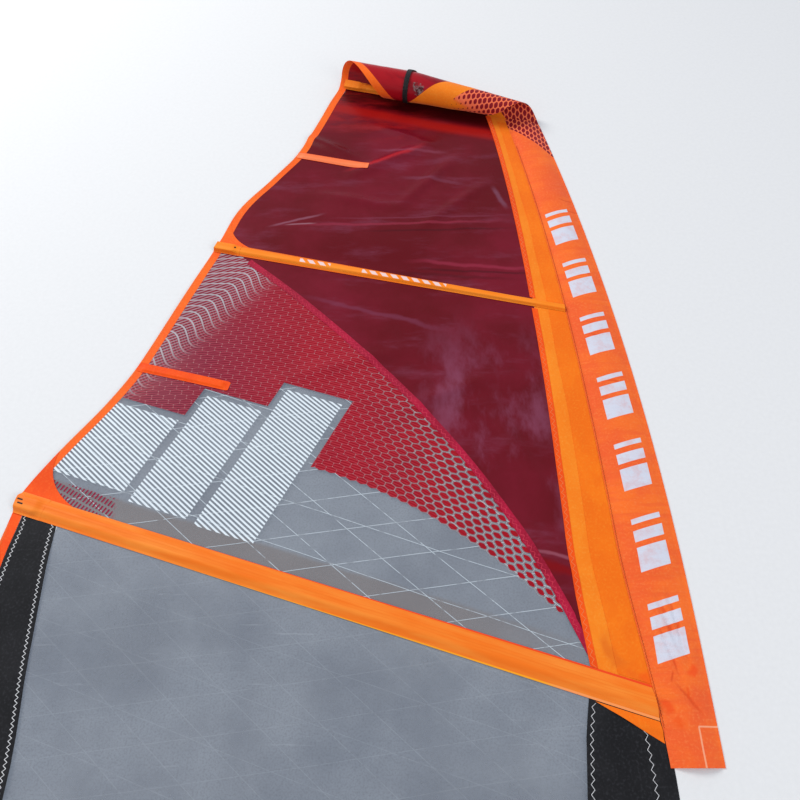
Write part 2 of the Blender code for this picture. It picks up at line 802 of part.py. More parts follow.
def turned(name, centre, axis, profile, kind, ring=False):
    """A turned body from (distance along the axis, radius) points, capped or closed as a ring."""
    axis = axis.normalized()
    one = axis.orthogonal().normalized()
    two = axis.cross(one)
    loops = []
    for distance, radius in profile:
        loop = []
        for i in range(ROUND_SIDES):
            angle = 2 * math.pi * i / ROUND_SIDES
            spoke = one * math.cos(angle) + two * math.sin(angle)
            loop.append(centre + axis * distance + spoke * radius)
        loops.append(loop)
    return loft(name, loops, kind, ring=ring, smooth=True)


def cut(piece, tool):
    tool.hide_render = True
    tool.display_type = "WIRE"
    modifier = piece.modifiers.new("cut_" + tool.name, "BOOLEAN")
    modifier.operation = "DIFFERENCE"
    modifier.solver = "EXACT"
    modifier.object = tool


def clew_centres():
    first = Vector((leech_outer(CLEW_HEIGHT) + EYELET_INSET, CLEW_HEIGHT + EYELET_RISE, 0))
    return [first, first + Vector((EYELET_LEAN, EYELET_SPACING, 0))]


def make_clew():
    patch = bpy.data.objects["clew_patch"]
    top = LOW_LAYER + EYELET_RIM
    hole = EYELET_NECK + FIT_GAP
    profile = [
        (0.0, EYELET_BORE),
        (0.0, EYELET_NECK),
        (LOW_LAYER, EYELET_NECK),
        (LOW_LAYER, EYELET_FLANGE),
        (top, EYELET_FLANGE - EYELET_EDGE),
        (top, EYELET_BORE),
    ]
    for number, centre in enumerate(clew_centres(), 1):
        through_patch = [(-top, hole), (2 * top, hole)]
        cut(patch, turned(f"eyelet_hole_{number}", centre, UP, through_patch, "steel"))
        turned(f"clew_eyelet_{number}", centre, UP, profile, "steel", ring=True)


# Tack


def fairing_left(y):
    return sleeve_rear(y) + FIT_GAP


def flap_profile():
    """Points of the flap's under side, from its hinge at the front to its rear edge."""
    rear = fairing_left(FAIRING_LOW) + FLAP_MARGIN
    front = FAIRING_FRONT - FLAP_MARGIN
    base = FAIRING_THICK + FIT_GAP
    points = []
    for i in range(FLAP_SWEEP_STEPS + 1):
        angle = math.pi * i / FLAP_SWEEP_STEPS
        x = (front + rear) / 2 + (front - rear) / 2 * math.cos(angle)
        arch = math.sin(angle) ** ARCH_POWER if 0 < i < FLAP_SWEEP_STEPS else 0.0
        points.append((x, base + (FLAP_LOFT - base - FAIRING_THICK) * arch))
    return points


def make_fairing():
    side = level(FAIRING_LOW)
    top = level(FAIRING_HIGH)
    front = level(FAIRING_FRONT)
    swath("fairing_base", fairing_left, front, side, top, flat(0, FAIRING_THICK), "foam", 2)
    under = flap_profile()
    over = []
    middle = (under[0][0] + under[-1][0]) / 2
    half = (under[0][0] - under[-1][0]) / 2
    for x, z in reversed(under):
        share = (x - middle) / half
        over.append((middle + share * (half + FAIRING_THICK), z + FAIRING_THICK))
    over = [(min(x, FAIRING_FRONT), z) for x, z in over]
    ends = (FAIRING_LOW + FLAP_MARGIN, FAIRING_HIGH - FLAP_MARGIN)
    flap = loft("fairing_flap", [[(x, y, z) for x, z in under + over] for y in ends], "foam")
    pivot(flap, Vector((FAIRING_FRONT, sum(ends) / 2, FAIRING_THICK + FIT_GAP)))


def make_pulley():
    """A block of three sheaves on one axle, lying on the tack webbing."""
    web_low = FAIRING_THICK + FIT_GAP
    web_high = web_low + WEBBING_THICK
    half = WEBBING_WIDTH / 2
    section = ((-half, web_low), (half, web_low), (half, web_high), (-half, web_high))
    ends = (WEBBING_LOW, FAIRING_HIGH - FLAP_MARGIN)
    loft("tack_webbing", [[(x, y, z) for x, z in section] for y in ends], "black")
    floor = web_high + FIT_GAP
    out = BLOCK_WIDTH / 2
    wall = out - BLOCK_WALL
    deck = floor + BLOCK_WALL
    top = floor + BLOCK_HEIGHT
    right = [(out, floor), (out, top), (wall, top), (wall, deck)]
    shape = right + [(-x, z) for x, z in reversed(right)]
    ends = (BLOCK_REAR - BLOCK_LENGTH, BLOCK_REAR)
    frame = loft("pulley_frame", [[(x, y, z) for x, z in shape] for y in ends], "steel")
    axis = Vector((1, 0, 0))
    height = top - AXLE_HEAD_RADIUS - BLOCK_WALL
    middle_y = BLOCK_REAR - BLOCK_LENGTH / 2
    hole = AXLE_RADIUS + RUNNING_GAP
    centre = Vector((0, middle_y, height))
    cut(frame, turned("axle_hole", centre, axis, [(-2 * out, hole), (2 * out, hole)], "steel"))
    pivot(frame, Vector((0, BLOCK_REAR, floor)))
    head = AXLE_HEAD_LENGTH
    reach = out + FIT_GAP
    profile = [
        (-reach - head, AXLE_HEAD_RADIUS),
        (-reach, AXLE_HEAD_RADIUS),
        (-reach, AXLE_RADIUS),
        (reach, AXLE_RADIUS),
        (reach, AXLE_HEAD_RADIUS),
        (reach + head, AXLE_HEAD_RADIUS),
    ]
    pivot(turned("pulley_axle", centre, axis, profile, "steel"), centre)
    width = (2 * wall - SHEAVE_SPACE * (SHEAVE_COUNT + 1)) / SHEAVE_COUNT
    for i in range(SHEAVE_COUNT):
        start = -wall + SHEAVE_SPACE * (i + 1) + width * i
        profile = [
            (start, hole),
            (start, SHEAVE_RADIUS),
            (start + width * SHEAVE_RIM_SHARE, SHEAVE_RADIUS),
            (start + width * SHEAVE_GROOVE_SHARE, SHEAVE_GROOVE),
            (start + width * (1 - SHEAVE_GROOVE_SHARE), SHEAVE_GROOVE),
            (start + width * (1 - SHEAVE_RIM_SHARE), SHEAVE_RADIUS),
            (start + width, SHEAVE_RADIUS),
            (start + width, hole),
        ]
        sheave = turned(f"pulley_sheave_{i + 1}", centre, axis, profile, "plastic", ring=True)
        pivot(sheave, centre)


# Head roll


def roll_radius(along):
    return ROLL_RADIUS - ROLL_TAPER * max(along, 0.0)


def roll_at(turn, along, depth):
    """A point of the wound sheet by its turn in degrees, place along the roll and depth below its face."""
    angle = math.radians(turn)
    radius = roll_radius(along) - ROLL_PITCH * turn / 360 - depth
    place = ROLL_POINT + ROLL_ALONG * along + ROLL_AHEAD * (radius * math.sin(angle))
    return place + UP * (roll_radius(along) - radius * math.cos(angle))


def along_at_line(edge):
    y = meet(edge, roll_line)
    return (Vector((edge(y), y, 0)) - ROLL_POINT).dot(ROLL_ALONG)


def film_along(turn):
    share = turn / EDGE_TURN
    return along_at_line(film_edge) - FILM_EDGE_RUN * share + FILM_EDGE_CURVE * share * share


def front_along(turn):
    share = turn / EDGE_TURN
    return along_at_line(luff_front) - SLEEVE_EDGE_RUN * share - SLEEVE_EDGE_CURVE * share * share


def rear_along(turn):
    first = along_at_line(film_edge)
    share = (along_at_line(sleeve_rear) - first) / (along_at_line(luff_front) - first)
    return film_along(turn) + share * (front_along(turn) - film_along(turn))


def leech_turn(turn):
    return LEECH_SHIFT * eased((turn - LEECH_SHIFT_START) / LEECH_SHIFT_SPAN)


def leech_in_along(turn):
    return along_at_line(leech_inner) + leech_turn(turn)


def leech_out_along(turn):
    return along_at_line(leech_outer) + leech_turn(turn) * LEECH_TAPE_LAG


def wound(name, left, right, last, thick, kind):
    """A sheet wound on the roll between two edges, from the ground to its last turn."""
    count = round(last / ROLL_STEP)
    loops = []
    for i in range(count + 1):
        turn = last * i / count
        start, end = left(turn) + FIT_GAP / 2, right(turn) - FIT_GAP / 2
        places = [start + (end - start) * k / ROLL_ALONG_STEPS for k in range(ROLL_ALONG_STEPS + 1)]
        outer = [roll_at(turn, place, 0.0) for place in places]
        inner = [roll_at(turn, place, thick) for place in reversed(places)]
        loops.append(outer + inner)
    return loft(name, loops, kind)


def make_roll():
    wound("roll_film", leech_in_along, film_along, FILM_END_TURN, FILM_THICK, "film_red")
    wound("roll_leech_tape", leech_out_along, leech_in_along, TAPE_END_TURN, FILM_THICK, "amber")
    wound("roll_luff_panel", film_along, rear_along, PANEL_END_TURN, FILM_THICK, "amber")
    wound("roll_sleeve", rear_along, front_along, SLEEVE_END_TURN, SLEEVE_LAYERS, "coral")
    make_strap()
    make_head_cap()


def make_strap():
    count = round((STRAP_END_TURN - STRAP_START_TURN) / ROLL_STEP)
    loops = []
    for i in range(count + 1):
        turn = STRAP_START_TURN + (STRAP_END_TURN - STRAP_START_TURN) * i / count
        lean = STRAP_LEAN * (1 - eased(i / count / STRAP_LEAN_SHARE))
        left = STRAP_ALONG + lean - STRAP_WIDTH / 2
        right = left + STRAP_WIDTH
        low, high = -STRAP_CLEARANCE, -STRAP_CLEARANCE - STRAP_THICK
        corners = ((left, low), (right, low), (right, high), (left, high))
        loops.append([roll_at(turn, along, depth) for along, depth in corners])
    loft("roll_strap", loops, "black")


def make_head_batten():
    turn = HEAD_BATTEN_TURN
    angle = math.radians(turn)
    start_along = leech_in_along(turn) - HEAD_BATTEN_OVERHANG
    away = -ROLL_AHEAD * math.sin(angle) + UP * math.cos(angle)
    half = max(POCKET_HALVES["head"])
    facet = ROLL_RADIUS * (1 - math.cos(math.radians(ROLL_STEP / 2)))
    sag = half * half / (2 * roll_radius(HEAD_BATTEN_END)) + facet + 3 * FIT_GAP
    start = roll_at(turn, start_along, FILM_THICK) + away * sag
    end = roll_at(turn, HEAD_BATTEN_END, FILM_THICK) + away * sag
    along = (end - start).normalized()
    across = away.cross(along).normalized()
    frame = Frame(start, along, across, along.cross(across))
    length = (end - start).length
    make_batten_set(4, "head", frame, lambda c: length, 0.0)


def make_head_cap():
    """A cup for the mast tip inside the roll, lying on the webbing that holds it to the sleeve."""
    turn = HEAD_CAP_TURN
    middle = (rear_along(turn) + front_along(turn)) / 2
    angle = math.radians(turn)
    tangent = ROLL_AHEAD * math.cos(angle) + UP * math.sin(angle)
    inward = -ROLL_AHEAD * math.sin(angle) + UP * math.cos(angle)
    radius = roll_radius(middle) - ROLL_PITCH * turn / 360
    half = HEAD_WEBBING_WIDTH / 2
    facet = radius * (1 - math.cos(math.radians(ROLL_STEP / 2)))
    seat = half * half / (2 * radius) + 2 * facet + 4 * FIT_GAP
    place = roll_at(turn, middle, SLEEVE_LAYERS) + inward * seat
    loops = []
    for along in (-HEAD_WEBBING_LENGTH / 2, HEAD_WEBBING_LENGTH / 2):
        low = place + ROLL_ALONG * along
        high = low + inward * WEBBING_THICK
        side = tangent * half
        loops.append([low - side, low + side, high + side, high - side])
    loft("head_webbing", loops, "black")
    profile = [(CAP_FLOOR, CAP_BORE), (CAP_LENGTH, CAP_BORE), (CAP_LENGTH, CAP_RADIUS), (0.0, CAP_RADIUS)]
    centre = place + inward * (WEBBING_THICK + FIT_GAP + CAP_RADIUS) - ROLL_ALONG * CAP_LENGTH / 2
    turned("head_cap", centre, ROLL_ALONG, profile, "plastic")


def main():
    clear_scene()
    make_panels()
    make_tapes()
    make_sleeve()
    make_battens()
    make_mini_battens()
    make_clew()
    make_fairing()
    make_pulley()
    make_roll()


main()
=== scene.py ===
"""Looks of the windsurf sail laid on a pale floor: camera, light, cloth, film, stitching and roll."""

import json
import math

import bmesh
import bpy
import numpy as np
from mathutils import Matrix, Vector, geometry, kdtree, noise

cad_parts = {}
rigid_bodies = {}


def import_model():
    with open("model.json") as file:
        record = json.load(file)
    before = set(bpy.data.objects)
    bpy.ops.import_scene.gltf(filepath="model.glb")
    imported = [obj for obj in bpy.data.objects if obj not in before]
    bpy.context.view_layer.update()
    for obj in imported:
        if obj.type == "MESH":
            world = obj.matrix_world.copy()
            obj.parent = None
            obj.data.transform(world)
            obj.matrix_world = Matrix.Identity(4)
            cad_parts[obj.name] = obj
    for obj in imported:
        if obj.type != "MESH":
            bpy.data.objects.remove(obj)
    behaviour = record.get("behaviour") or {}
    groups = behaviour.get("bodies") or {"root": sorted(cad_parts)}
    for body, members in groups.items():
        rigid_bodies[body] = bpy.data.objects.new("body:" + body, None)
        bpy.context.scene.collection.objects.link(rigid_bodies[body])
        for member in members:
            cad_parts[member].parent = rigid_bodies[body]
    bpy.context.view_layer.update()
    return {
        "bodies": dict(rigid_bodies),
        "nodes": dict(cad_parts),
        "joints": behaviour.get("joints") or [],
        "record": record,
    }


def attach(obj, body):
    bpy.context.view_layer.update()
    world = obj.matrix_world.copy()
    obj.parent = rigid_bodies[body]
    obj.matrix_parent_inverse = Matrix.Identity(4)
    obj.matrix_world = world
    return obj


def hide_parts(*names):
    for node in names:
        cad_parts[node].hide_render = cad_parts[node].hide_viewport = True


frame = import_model()
ROOT = "sail"
LOOK = {}

# Puckers of the sleeve's cloth and of the luff panel's: how they are drawn out, and how deep
DRAWN = ((0.16, 1.3, 1), 8.0)
CRUMPLED = {"folds": (1, 0.6, 1), "depth": 4.0}

# Camera, solved from the photograph: eye height, 60 degrees down
EYE = (-0.61, 1.55, 1.73)
TILT = math.radians(30)
LENS = 31.59
SENSOR = 36.0

# Sky, and lights: name, place, target, size and power
SKY = (0.86, 0.9, 1.0, 1)
SKY_POWER = 0.66
LIGHTS = (
    ("key", (-5.6, 6.6, 4.5), (-0.6, 2.2, 0), 3.2, 360),
    ("fill", (3.9, -0.9, 3.4), (-0.6, 2.0, 0), 3.0, 85),
)

# Cloth
CLOTH_THICK = 0.0005
FILM_THICK = 0.0006
FIT_GAP = 0.0003
LAYER = FILM_THICK + FIT_GAP
GRID = 0.012
SEAM_LAP = 0.0013
TAIL_REACH = 0.090
TAIL_HALF = 0.0102
TAIL_STEPS = 14
WINDOW_LAP = 0.0095
FACE_THICK = 0.0006
CLOTH_BASE = LAYER + 0.0008
ON_PATCH = 0.0008
STITCH_THREAD = 0.0011
# Flat share of the sleeve's width at each side, and lengths of a row of its net and of a pocket's
SLEEVE_HEM = 0.07
SLEEVE_ROW = 0.008
POCKET_ROW = 0.010

# Edges of the sail, and its sleeve's sizes, as in the CAD
LUFF_REACH = 0.102
LUFF_PEAK = 1.85
LUFF_CURVE_ABOVE = 0.058
LUFF_CURVE_BELOW = 0.0137
SLEEVE_FLANGE = 0.008
SLEEVE_LOFT = 0.014
SLEEVE_FOOT = 0.0903
CUTOUT_LOW = 1.16
CUTOUT_HIGH = 1.62
SLEEVE_WIDTHS = ((0.0, 0.140), (CUTOUT_LOW, 0.126), (CUTOUT_HIGH, 0.112), (2.15, 0.150), (3.75, 0.108))
PANEL_WIDTHS = ((0.0, 0.105), (1.02, 0.105), (LUFF_PEAK, 0.132), (3.75, 0.066))
BOOM_PATCH_STATIONS = ((1.02, 0.0), (1.20, 0.055), (1.45, 0.080), (1.66, 0.056), (1.76, 0.028))
LEECH_STATIONS = (
    (1.45, 1.68),
    (2.24, 1.615),
    (2.36, 1.552),
    (2.56, 1.424),
    (2.67, 1.372),
    (3.13, 1.205),
    (3.29, 1.148),
    (3.42, 1.062),
    (3.55, 0.975),
    (3.915, 0.845),
)
LEECH_TAPE_WIDTH = 0.028
CLEW_HEIGHT = 1.45
CLEW_REACH = 1.68
FOOT_ROUND = 1.6
BATTEN_LINES = {1: (0.60, 0.19), 2: (1.743, 0.308), 3: (2.850, 0.226)}
DIAGONAL = (1.845, 0.1573, 0.352, 0.344)

# Print on the leech panel: its rows are rings about a centre, and it ends at a ring
HEX_TALL = 0.866
PRINT_CENTRE = (-1.25, 0.99)
PRINT_RADIUS = 1.412
PRINT_SPAN = 1.42
PRINT_FOOT = 1.955
CELL_LENGTH = 0.030
CELL_ROW = 0.0152
WAVE_POINT = (-1.13, 2.92)
WAVE_TURN = math.radians(49)
WAVE_PITCH = 0.023
FINE_PITCH = 0.0098
DRAWN_PITCH = 0.0068
HATCH_TURN = math.radians(41)
HATCH_PITCH = 0.0104
HATCH_OUTLINE = 0.020
HATCH_LEAN = 0.45
# Threads in the clear film: turn, pitch, half width and share of the bow
SCRIM = (
    (-0.70, 0.094, 0.0006, 0.8),
    (0.13, 0.088, 0.0005, 2.5),
    (-0.33, 0.118, 0.0005, 2.5),
)
# Hatched bars: middle across and its half width, middle above the batten and its half height
HATCH_BARS = (
    (-1.515, 0.125, 0.235, 0.125),
    (-1.285, 0.080, 0.275, 0.185),
    (-1.100, 0.080, 0.315, 0.235),
)

# Plain white blocks along the sleeve, and the cell print at its head
BLOCK_SET = 0.072
BLOCK_LEAN = -0.30
BLOCK_LOW = 1.83
BLOCK_PITCH = 0.215
BLOCK_HALF = 0.039
BLOCK_COUNT = 7.0
BLOCKS = ((0.22, 0.14), (0.50, 0.065), (0.68, 0.03))
FACING_REAR = 0.056
FACING_TOP = 1.702
CELLS_START = 3.475
CELLS_FADE = 0.15

# Painted highlights and painted shade along the film's creases: from a place to a place, half width, colour
# and share
FILM_STROKES = (
    ((-0.82, 3.46), (-0.50, 3.60), 0.011, "b81a24", 0.75),
    ((-0.72, 3.58), (-0.42, 3.56), 0.008, "8c4458", 0.5),
    ((-0.34, 2.075), (-0.02, 2.035), 0.016, "820008", 0.9),
    ((-0.36, 2.115), (-0.02, 2.065), 0.006, "a05868", 0.6),
    ((-0.95, 2.93), (-0.42, 2.78), 0.010, "7c3850", 0.5),
    ((-0.62, 3.06), (-0.12, 3.03), 0.009, "a03048", 0.5),
    ((-0.60, 3.03), (-0.12, 3.01), 0.006, "3c0810", 0.5),
    ((-0.22, 2.98), (-0.10, 2.90), 0.008, "a06478", 0.6),
    ((-1.05, 3.215), (-0.20, 3.239), 0.007, "942c40", 0.60),
    ((-0.90, 3.245), (-0.19, 3.262), 0.004, "80364a", 0.45),
    ((-0.79, 3.190), (-0.19, 3.203), 0.006, "46060f", 0.55),
    ((-1.06, 3.205), (-0.85, 3.272), 0.006, "986072", 0.55),
    ((-1.00, 3.215), (-0.88, 3.225), 0.004, "a07480", 0.60),
    ((-0.30, 3.40), (-0.25, 3.28), 0.009, "805064", 0.55),
    ((-0.63, 3.45), (-0.36, 3.40), 0.010, "7c3c50", 0.45),
    ((-0.72, 3.02), (-0.20, 2.985), 0.008, "46060f", 0.40),
)
# The crumpled spot beside the strap: its turn round the roll and place along it
SPOT_TURN = 232.0
SPOT_ALONG = 0.034

# Roll, as in the CAD
ROLL_X = -0.565
ROLL_Y = 3.84
ROLL_SLANT = math.radians(15)
ROLL_RADIUS = 0.0635
ROLL_TAPER = 0.055
ROLL_PITCH = 0.014
ROLL_ALONG = Vector((math.cos(ROLL_SLANT), -math.sin(ROLL_SLANT), 0))
ROLL_AHEAD = Vector((math.sin(ROLL_SLANT), math.cos(ROLL_SLANT), 0))
ROLL_POINT = Vector((ROLL_X, ROLL_Y, 0))
# How its edges move along it while it winds: by a share of the turns and by the share's square
ROLL_SPAN = 325
FILM_DRIFT = (0.374, -0.064)
FRONT_DRIFT = (0.124, 0.075)
# The leech's move, and how much of it the tape's outer edge takes part in
LEECH_DRIFT = 0.21
LEECH_NARROWED = 0.91
LEECH_TURNS = (60, 270)

# Battens, tensioners and pockets, as in the CAD
POCKET_HALVES = {1: (0.022, 0.018), 2: (0.029, 0.035), 3: (0.0205, 0.0125), 4: (0.017, 0.015)}
POCKET_START = 0.0543
POCKET_SET = 0.002
BATTEN_CROWN = 0.0084
BATTEN_CORE = 0.0066
HOUSING_TOP = 0.0118
HOUSING_CORE = 0.0128
MINI_LINES = {1: (2.314, 0.251, 0.285), 2: (3.322, 0.233, 0.262)}
MINI_CROWN = 0.0034
MINI_HALF = 0.015
FOOT_SETBACK = 0.006
CAP_REACH = 0.084
# Paints of the pockets by batten, full and mini
POCKET_PAINTS = {1: "coral", 2: "band", 3: "pocket", 4: "pocket"}
MINI_PAINTS = {1: "edge", 2: "mini"}
# Corner cloths at the leech: reach along the batten, reach up the leech, paint
CORNERS = {2: (0.20, 0.125, "seam"), 3: (0.15, 0.105, "tape")}
LINING_SHARE = 0.60
WING_REACH = 0.165
WING_LOW = 1.668
HEAD_TURN = 25.0
HEAD_END = 0.235
HEAD_OVERHANG = 0.006

# Tack, strap and webbing, as in the CAD
FAIRING_LOW = -0.130
FAIRING_HIGH = 0.090
FAIRING_FRONT = 0.075
FLAP_LOFT = 0.048
FOAM = 0.003
FLAP_MARGIN = 0.004
STRAP_ALONG = -0.014
STRAP_WIDTH = 0.018
STRAP_THICK = 0.0016
STRAP_LEAN = 0.040
STRAP_TURNS = (45.0, 318.0)
# The strap leans over the first share of its length, bows across it, and stands off the roll
STRAP_LEANING = 0.42
STRAP_BOW = 0.0005
STRAP_CLEAR = 0.0012
# Rounding of the fairing's pad, and depth and pitch of its flap's quilting
PAD_ROUND = 0.0012
QUILT_DEPTH = 0.0009
QUILT_PITCH = 0.035


def through(stations, height):
    """Smooth value through (height, value) stations, straight past both ends."""
    count = len(stations)

    def slope(i):
        low = stations[max(i - 1, 0)]
        high = stations[min(i + 1, count - 1)]
        return (high[1] - low[1]) / (high[0] - low[0])

    if height <= stations[0][0]:
        return stations[0][1] + slope(0) * (height - stations[0][0])
    if height >= stations[-1][0]:
        return stations[-1][1] + slope(count - 1) * (height - stations[-1][0])
    i = max(k for k in range(count - 1) if stations[k][0] <= height)
    span = stations[i + 1][0] - stations[i][0]
    t = (height - stations[i][0]) / span
    start = (2 * t**3 - 3 * t**2 + 1) * stations[i][1]
    start_slope = (t**3 - 2 * t**2 + t) * span * slope(i)
    end = (-2 * t**3 + 3 * t**2) * stations[i + 1][1]
    end_slope = (t**3 - t**2) * span * slope(i + 1)
    return start + start_slope + end + end_slope


def eased(t):
    t = min(max(t, 0.0), 1.0)
    return t * t * (3 - 2 * t)


def luff_front(y):
    rise = y - LUFF_PEAK
    curve = LUFF_CURVE_ABOVE if rise > 0 else LUFF_CURVE_BELOW
    return LUFF_REACH - curve * rise * rise


def sleeve_rear(y):
    return luff_front(y) - through(SLEEVE_WIDTHS, y)


def film_edge(y):
    return sleeve_rear(y) - through(PANEL_WIDTHS, y)


def boom_patch_edge(y):
    return film_edge(y) - max(through(BOOM_PATCH_STATIONS, y), 0.0)


def leech_outer(y):
    return -through(LEECH_STATIONS, y)


def leech_inner(y):
    return leech_outer(y) + LEECH_TAPE_WIDTH


def diagonal(y):
    foot, reach, lean, curve = DIAGONAL
    rise = max(y - foot, 0.0)
    return -reach - lean * rise - curve * rise * rise


def batten_line(height, rise, off=0.0):
    """The line of a batten as y of x, or one that far beside it."""
    aside = off * math.hypot(1, rise)
    return lambda x: height + aside - rise * x


def roll_line(x):
    return ROLL_Y + (ROLL_X - x) * math.tan(ROLL_SLANT)


def meet(edge, across):
    """The height where an edge, x of y, meets a line, y of x."""
    height = across(0.0)
    for _ in range(60):
        height = across(edge(height))
    return height


# Ripples of the cloth on the ground: mean height, and height of the broad and the small ones
RIPPLE_MEAN = 0.0045
RIPPLE_BROAD = 0.0045
RIPPLE_SMALL = 0.0022
# How far the cloth is flat beside battens and sleeve, and over what length its ripples fade there
BATTEN_CALM = 0.036
BATTEN_FADE = 0.11
SLEEVE_CALM = 0.012
SLEEVE_FADE = 0.09
ROLL_FADE = 0.10
# How blunt the creases' ends are, on the panels and on the sleeve's face
CREASE_EASE = 0.08
FACE_EASE = 0.1

# Creases, listed one by one: from (x, y) to (x, y), height and half width
CREASES = (
    ((-0.98, 3.66), (-0.74, 3.52), 0.010, 0.020),
    ((-0.70, 3.70), (-0.50, 3.60), 0.012, 0.018),
    ((-0.90, 3.36), (-0.62, 3.30), 0.008, 0.018),
    ((-0.55, 3.20), (-0.30, 3.42), 0.008, 0.018),
    ((-0.95, 2.62), (-0.60, 2.72), 0.007, 0.025),
    ((-0.60, 2.52), (-0.35, 2.62), 0.008, 0.022),
    ((-0.38, 2.60), (-0.22, 2.25), 0.008, 0.024),
    ((-0.48, 2.42), (-0.32, 2.16), 0.007, 0.020),
    ((-1.05, 3.02), (-0.32, 2.95), 0.010, 0.030),
    ((-0.78, 3.45), (-0.48, 3.62), 0.012, 0.022),
    ((-0.62, 3.30), (-0.40, 3.55), 0.009, 0.020),
    ((-0.30, 2.18), (-0.16, 2.02), 0.010, 0.020),
)

# Creases of the sleeve's face, in the same way
SLEEVE_CREASES = (
    ((0.015, 1.99), (0.050, 1.86), -0.0075, 0.007),
    ((0.045, 2.00), (0.062, 1.83), -0.0070, 0.006),
    ((0.005, 1.93), (0.040, 1.80), -0.0060, 0.005),
    ((0.020, 1.80), (0.075, 1.72), -0.0060, 0.006),
    ((-0.03, 2.32), (0.055, 2.30), -0.0025, 0.006),
    ((-0.04, 2.62), (0.030, 2.60), -0.0025, 0.006),
    ((-0.05, 2.78), (0.020, 2.75), -0.0030, 0.006),
    ((-0.06, 3.02), (0.000, 3.00), -0.0025, 0.006),
    ((-0.07, 3.28), (-0.01, 3.27), -0.0030, 0.006),
    ((-0.075, 3.33), (-0.02, 3.32), -0.0025, 0.006),
)

# Soft shade on the sleeve's foot: from and to, half width, colour and strength
SLEEVE_STROKES = (
    ((0.023, 1.821), (0.014, 1.792), 0.004, "e0501a", 0.8),
    ((0.076, 1.838), (0.065, 1.801), 0.01, "fa4c10", 0.7),
    ((0.049, 1.788), (0.046, 1.758), 0.004, "f0500f", 0.6),
    ((-0.006, 1.765), (0.001, 1.723), 0.009, "f44c12", 0.7),
    ((0.006, 1.723), (0.026, 1.698), 0.01, "f4540f", 0.6),
)

# The same on the luff panel's foot
PANEL_STROKES = (
    ((-0.139, 1.909), (-0.080, 1.818), 0.03, "e86c14", 0.7),
    ((-0.032, 1.827), (-0.022, 1.779), 0.022, "fa5808", 0.7),
    ((-0.094, 1.818), (-0.032, 1.801), 0.014, "f06410", 0.5),
)


def from_line(x, y, start, end):
    """Distance of a place from a stretch of line, and the share of the stretch beside it."""
    across, up = end[0] - start[0], end[1] - start[1]
    share = ((x - start[0]) * across + (y - start[1]) * up) / (across * across + up * up)
    share = min(max(share, 0.0), 1.0)
    return math.hypot(x - start[0] - across * share, y - start[1] - up * share), share


def from_battens(x, y):
    """Distance from the nearest full batten."""
    away = []
    for height, rise in BATTEN_LINES.values():
        away.append(abs(y - height + rise * x) / math.hypot(1, rise))
    return min(away)


def ripple(x, y, z):
    """Smooth noise about nothing, the same each run."""
    return noise.noise(Vector((x, y, z)))


def crease_height(x, y, creases, ease):
    """Height of the creases at a place; the greater ease is, the less they sink towards their ends."""
    height = 0.0
    for start, end, rise, half in creases:
        away, share = from_line(x, y, start, end)
        if away < 4 * half:
            along = math.sin(math.pi * (ease + (1 - 2 * ease) * share))
            height += rise * along * math.exp(-((away / half) ** 2))
    return height


def lift(x, y):
    """Height of the cloth's ripples above the ground, nothing along the battens, sleeve and roll."""
    rippled = eased((from_battens(x, y) - BATTEN_CALM) / BATTEN_FADE)
    rippled *= eased((sleeve_rear(y) - SLEEVE_CALM - x) / SLEEVE_FADE)
    rippled *= eased((roll_line(x) - y) / ROLL_FADE)
    height = RIPPLE_MEAN + RIPPLE_BROAD * ripple(x * 2.1, y * 2.6, 1.7)
    height += RIPPLE_SMALL * ripple(x * 6.5 + y * 2.0, y * 7.5, 9.2)
    return max(height + crease_height(x, y, CREASES, CREASE_EASE), 0.0) * rippled


# Mesh tools


def finish_mesh(name, body, material, smooth=True):
    """A piece in the scene from a mesh in the making."""
    mesh = bpy.data.meshes.new(name)
    body.to_mesh(mesh)
    body.free()
    if smooth:
        mesh.shade_smooth()
        mesh.set_sharp_from_angle(angle=math.radians(50))
    piece = bpy.data.objects.new(name, mesh)
    piece.data.materials.append(material)
    bpy.context.scene.collection.objects.link(piece)
    return piece


def mapped(name, body, paint, flat_of):
    """A finished piece whose map holds each point's place on the flat."""
    layer = body.loops.layers.uv.new("sail")
    for face in body.faces:
        for corner in face.loops:
            corner[layer].uv = flat_of(corner.vert)
    return finish_mesh(name, body, LOOK[paint])


def settle(piece, slot, *nodes, body=ROOT):
    """Puts a piece on its body and in the place of its CAD nodes, which it hides; its slot is not used."""
    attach(piece, body)
    if nodes:
        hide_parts(*nodes)
    return piece


def outline(node):
    """The edge loops of a flat CAD piece's upper face, each a list of (x, y) points."""
    body = bmesh.new()
    body.from_mesh(frame["nodes"][node].data)
    bmesh.ops.remove_doubles(body, verts=body.verts, dist=0.00001)
    body.normal_update()
    top = {face for face in body.faces if face.normal.z > 0.9}
    beside = {}
    for edge in body.edges:
        if sum(face in top for face in edge.link_faces) == 1:
            one, two = edge.verts
            beside.setdefault(one, []).append(two)
            beside.setdefault(two, []).append(one)
    loops = []
    left = set(beside)
    while left:
        first = min(left, key=lambda vert: vert.index)
        loop, before, here = [], None, first
        while here is not first or before is None:
            loop.append((here.co.x, here.co.y))
            left.discard(here)
            ahead = [vert for vert in beside[here] if vert is not before]
            before, here = here, ahead[0]
        loops.append(loop)
    body.free()
    return loops


def turned_area(loop):
    pairs = zip(loop, loop[1:] + loop[:1])
    return sum(a[0] * b[1] - b[0] * a[1] for a, b in pairs) / 2


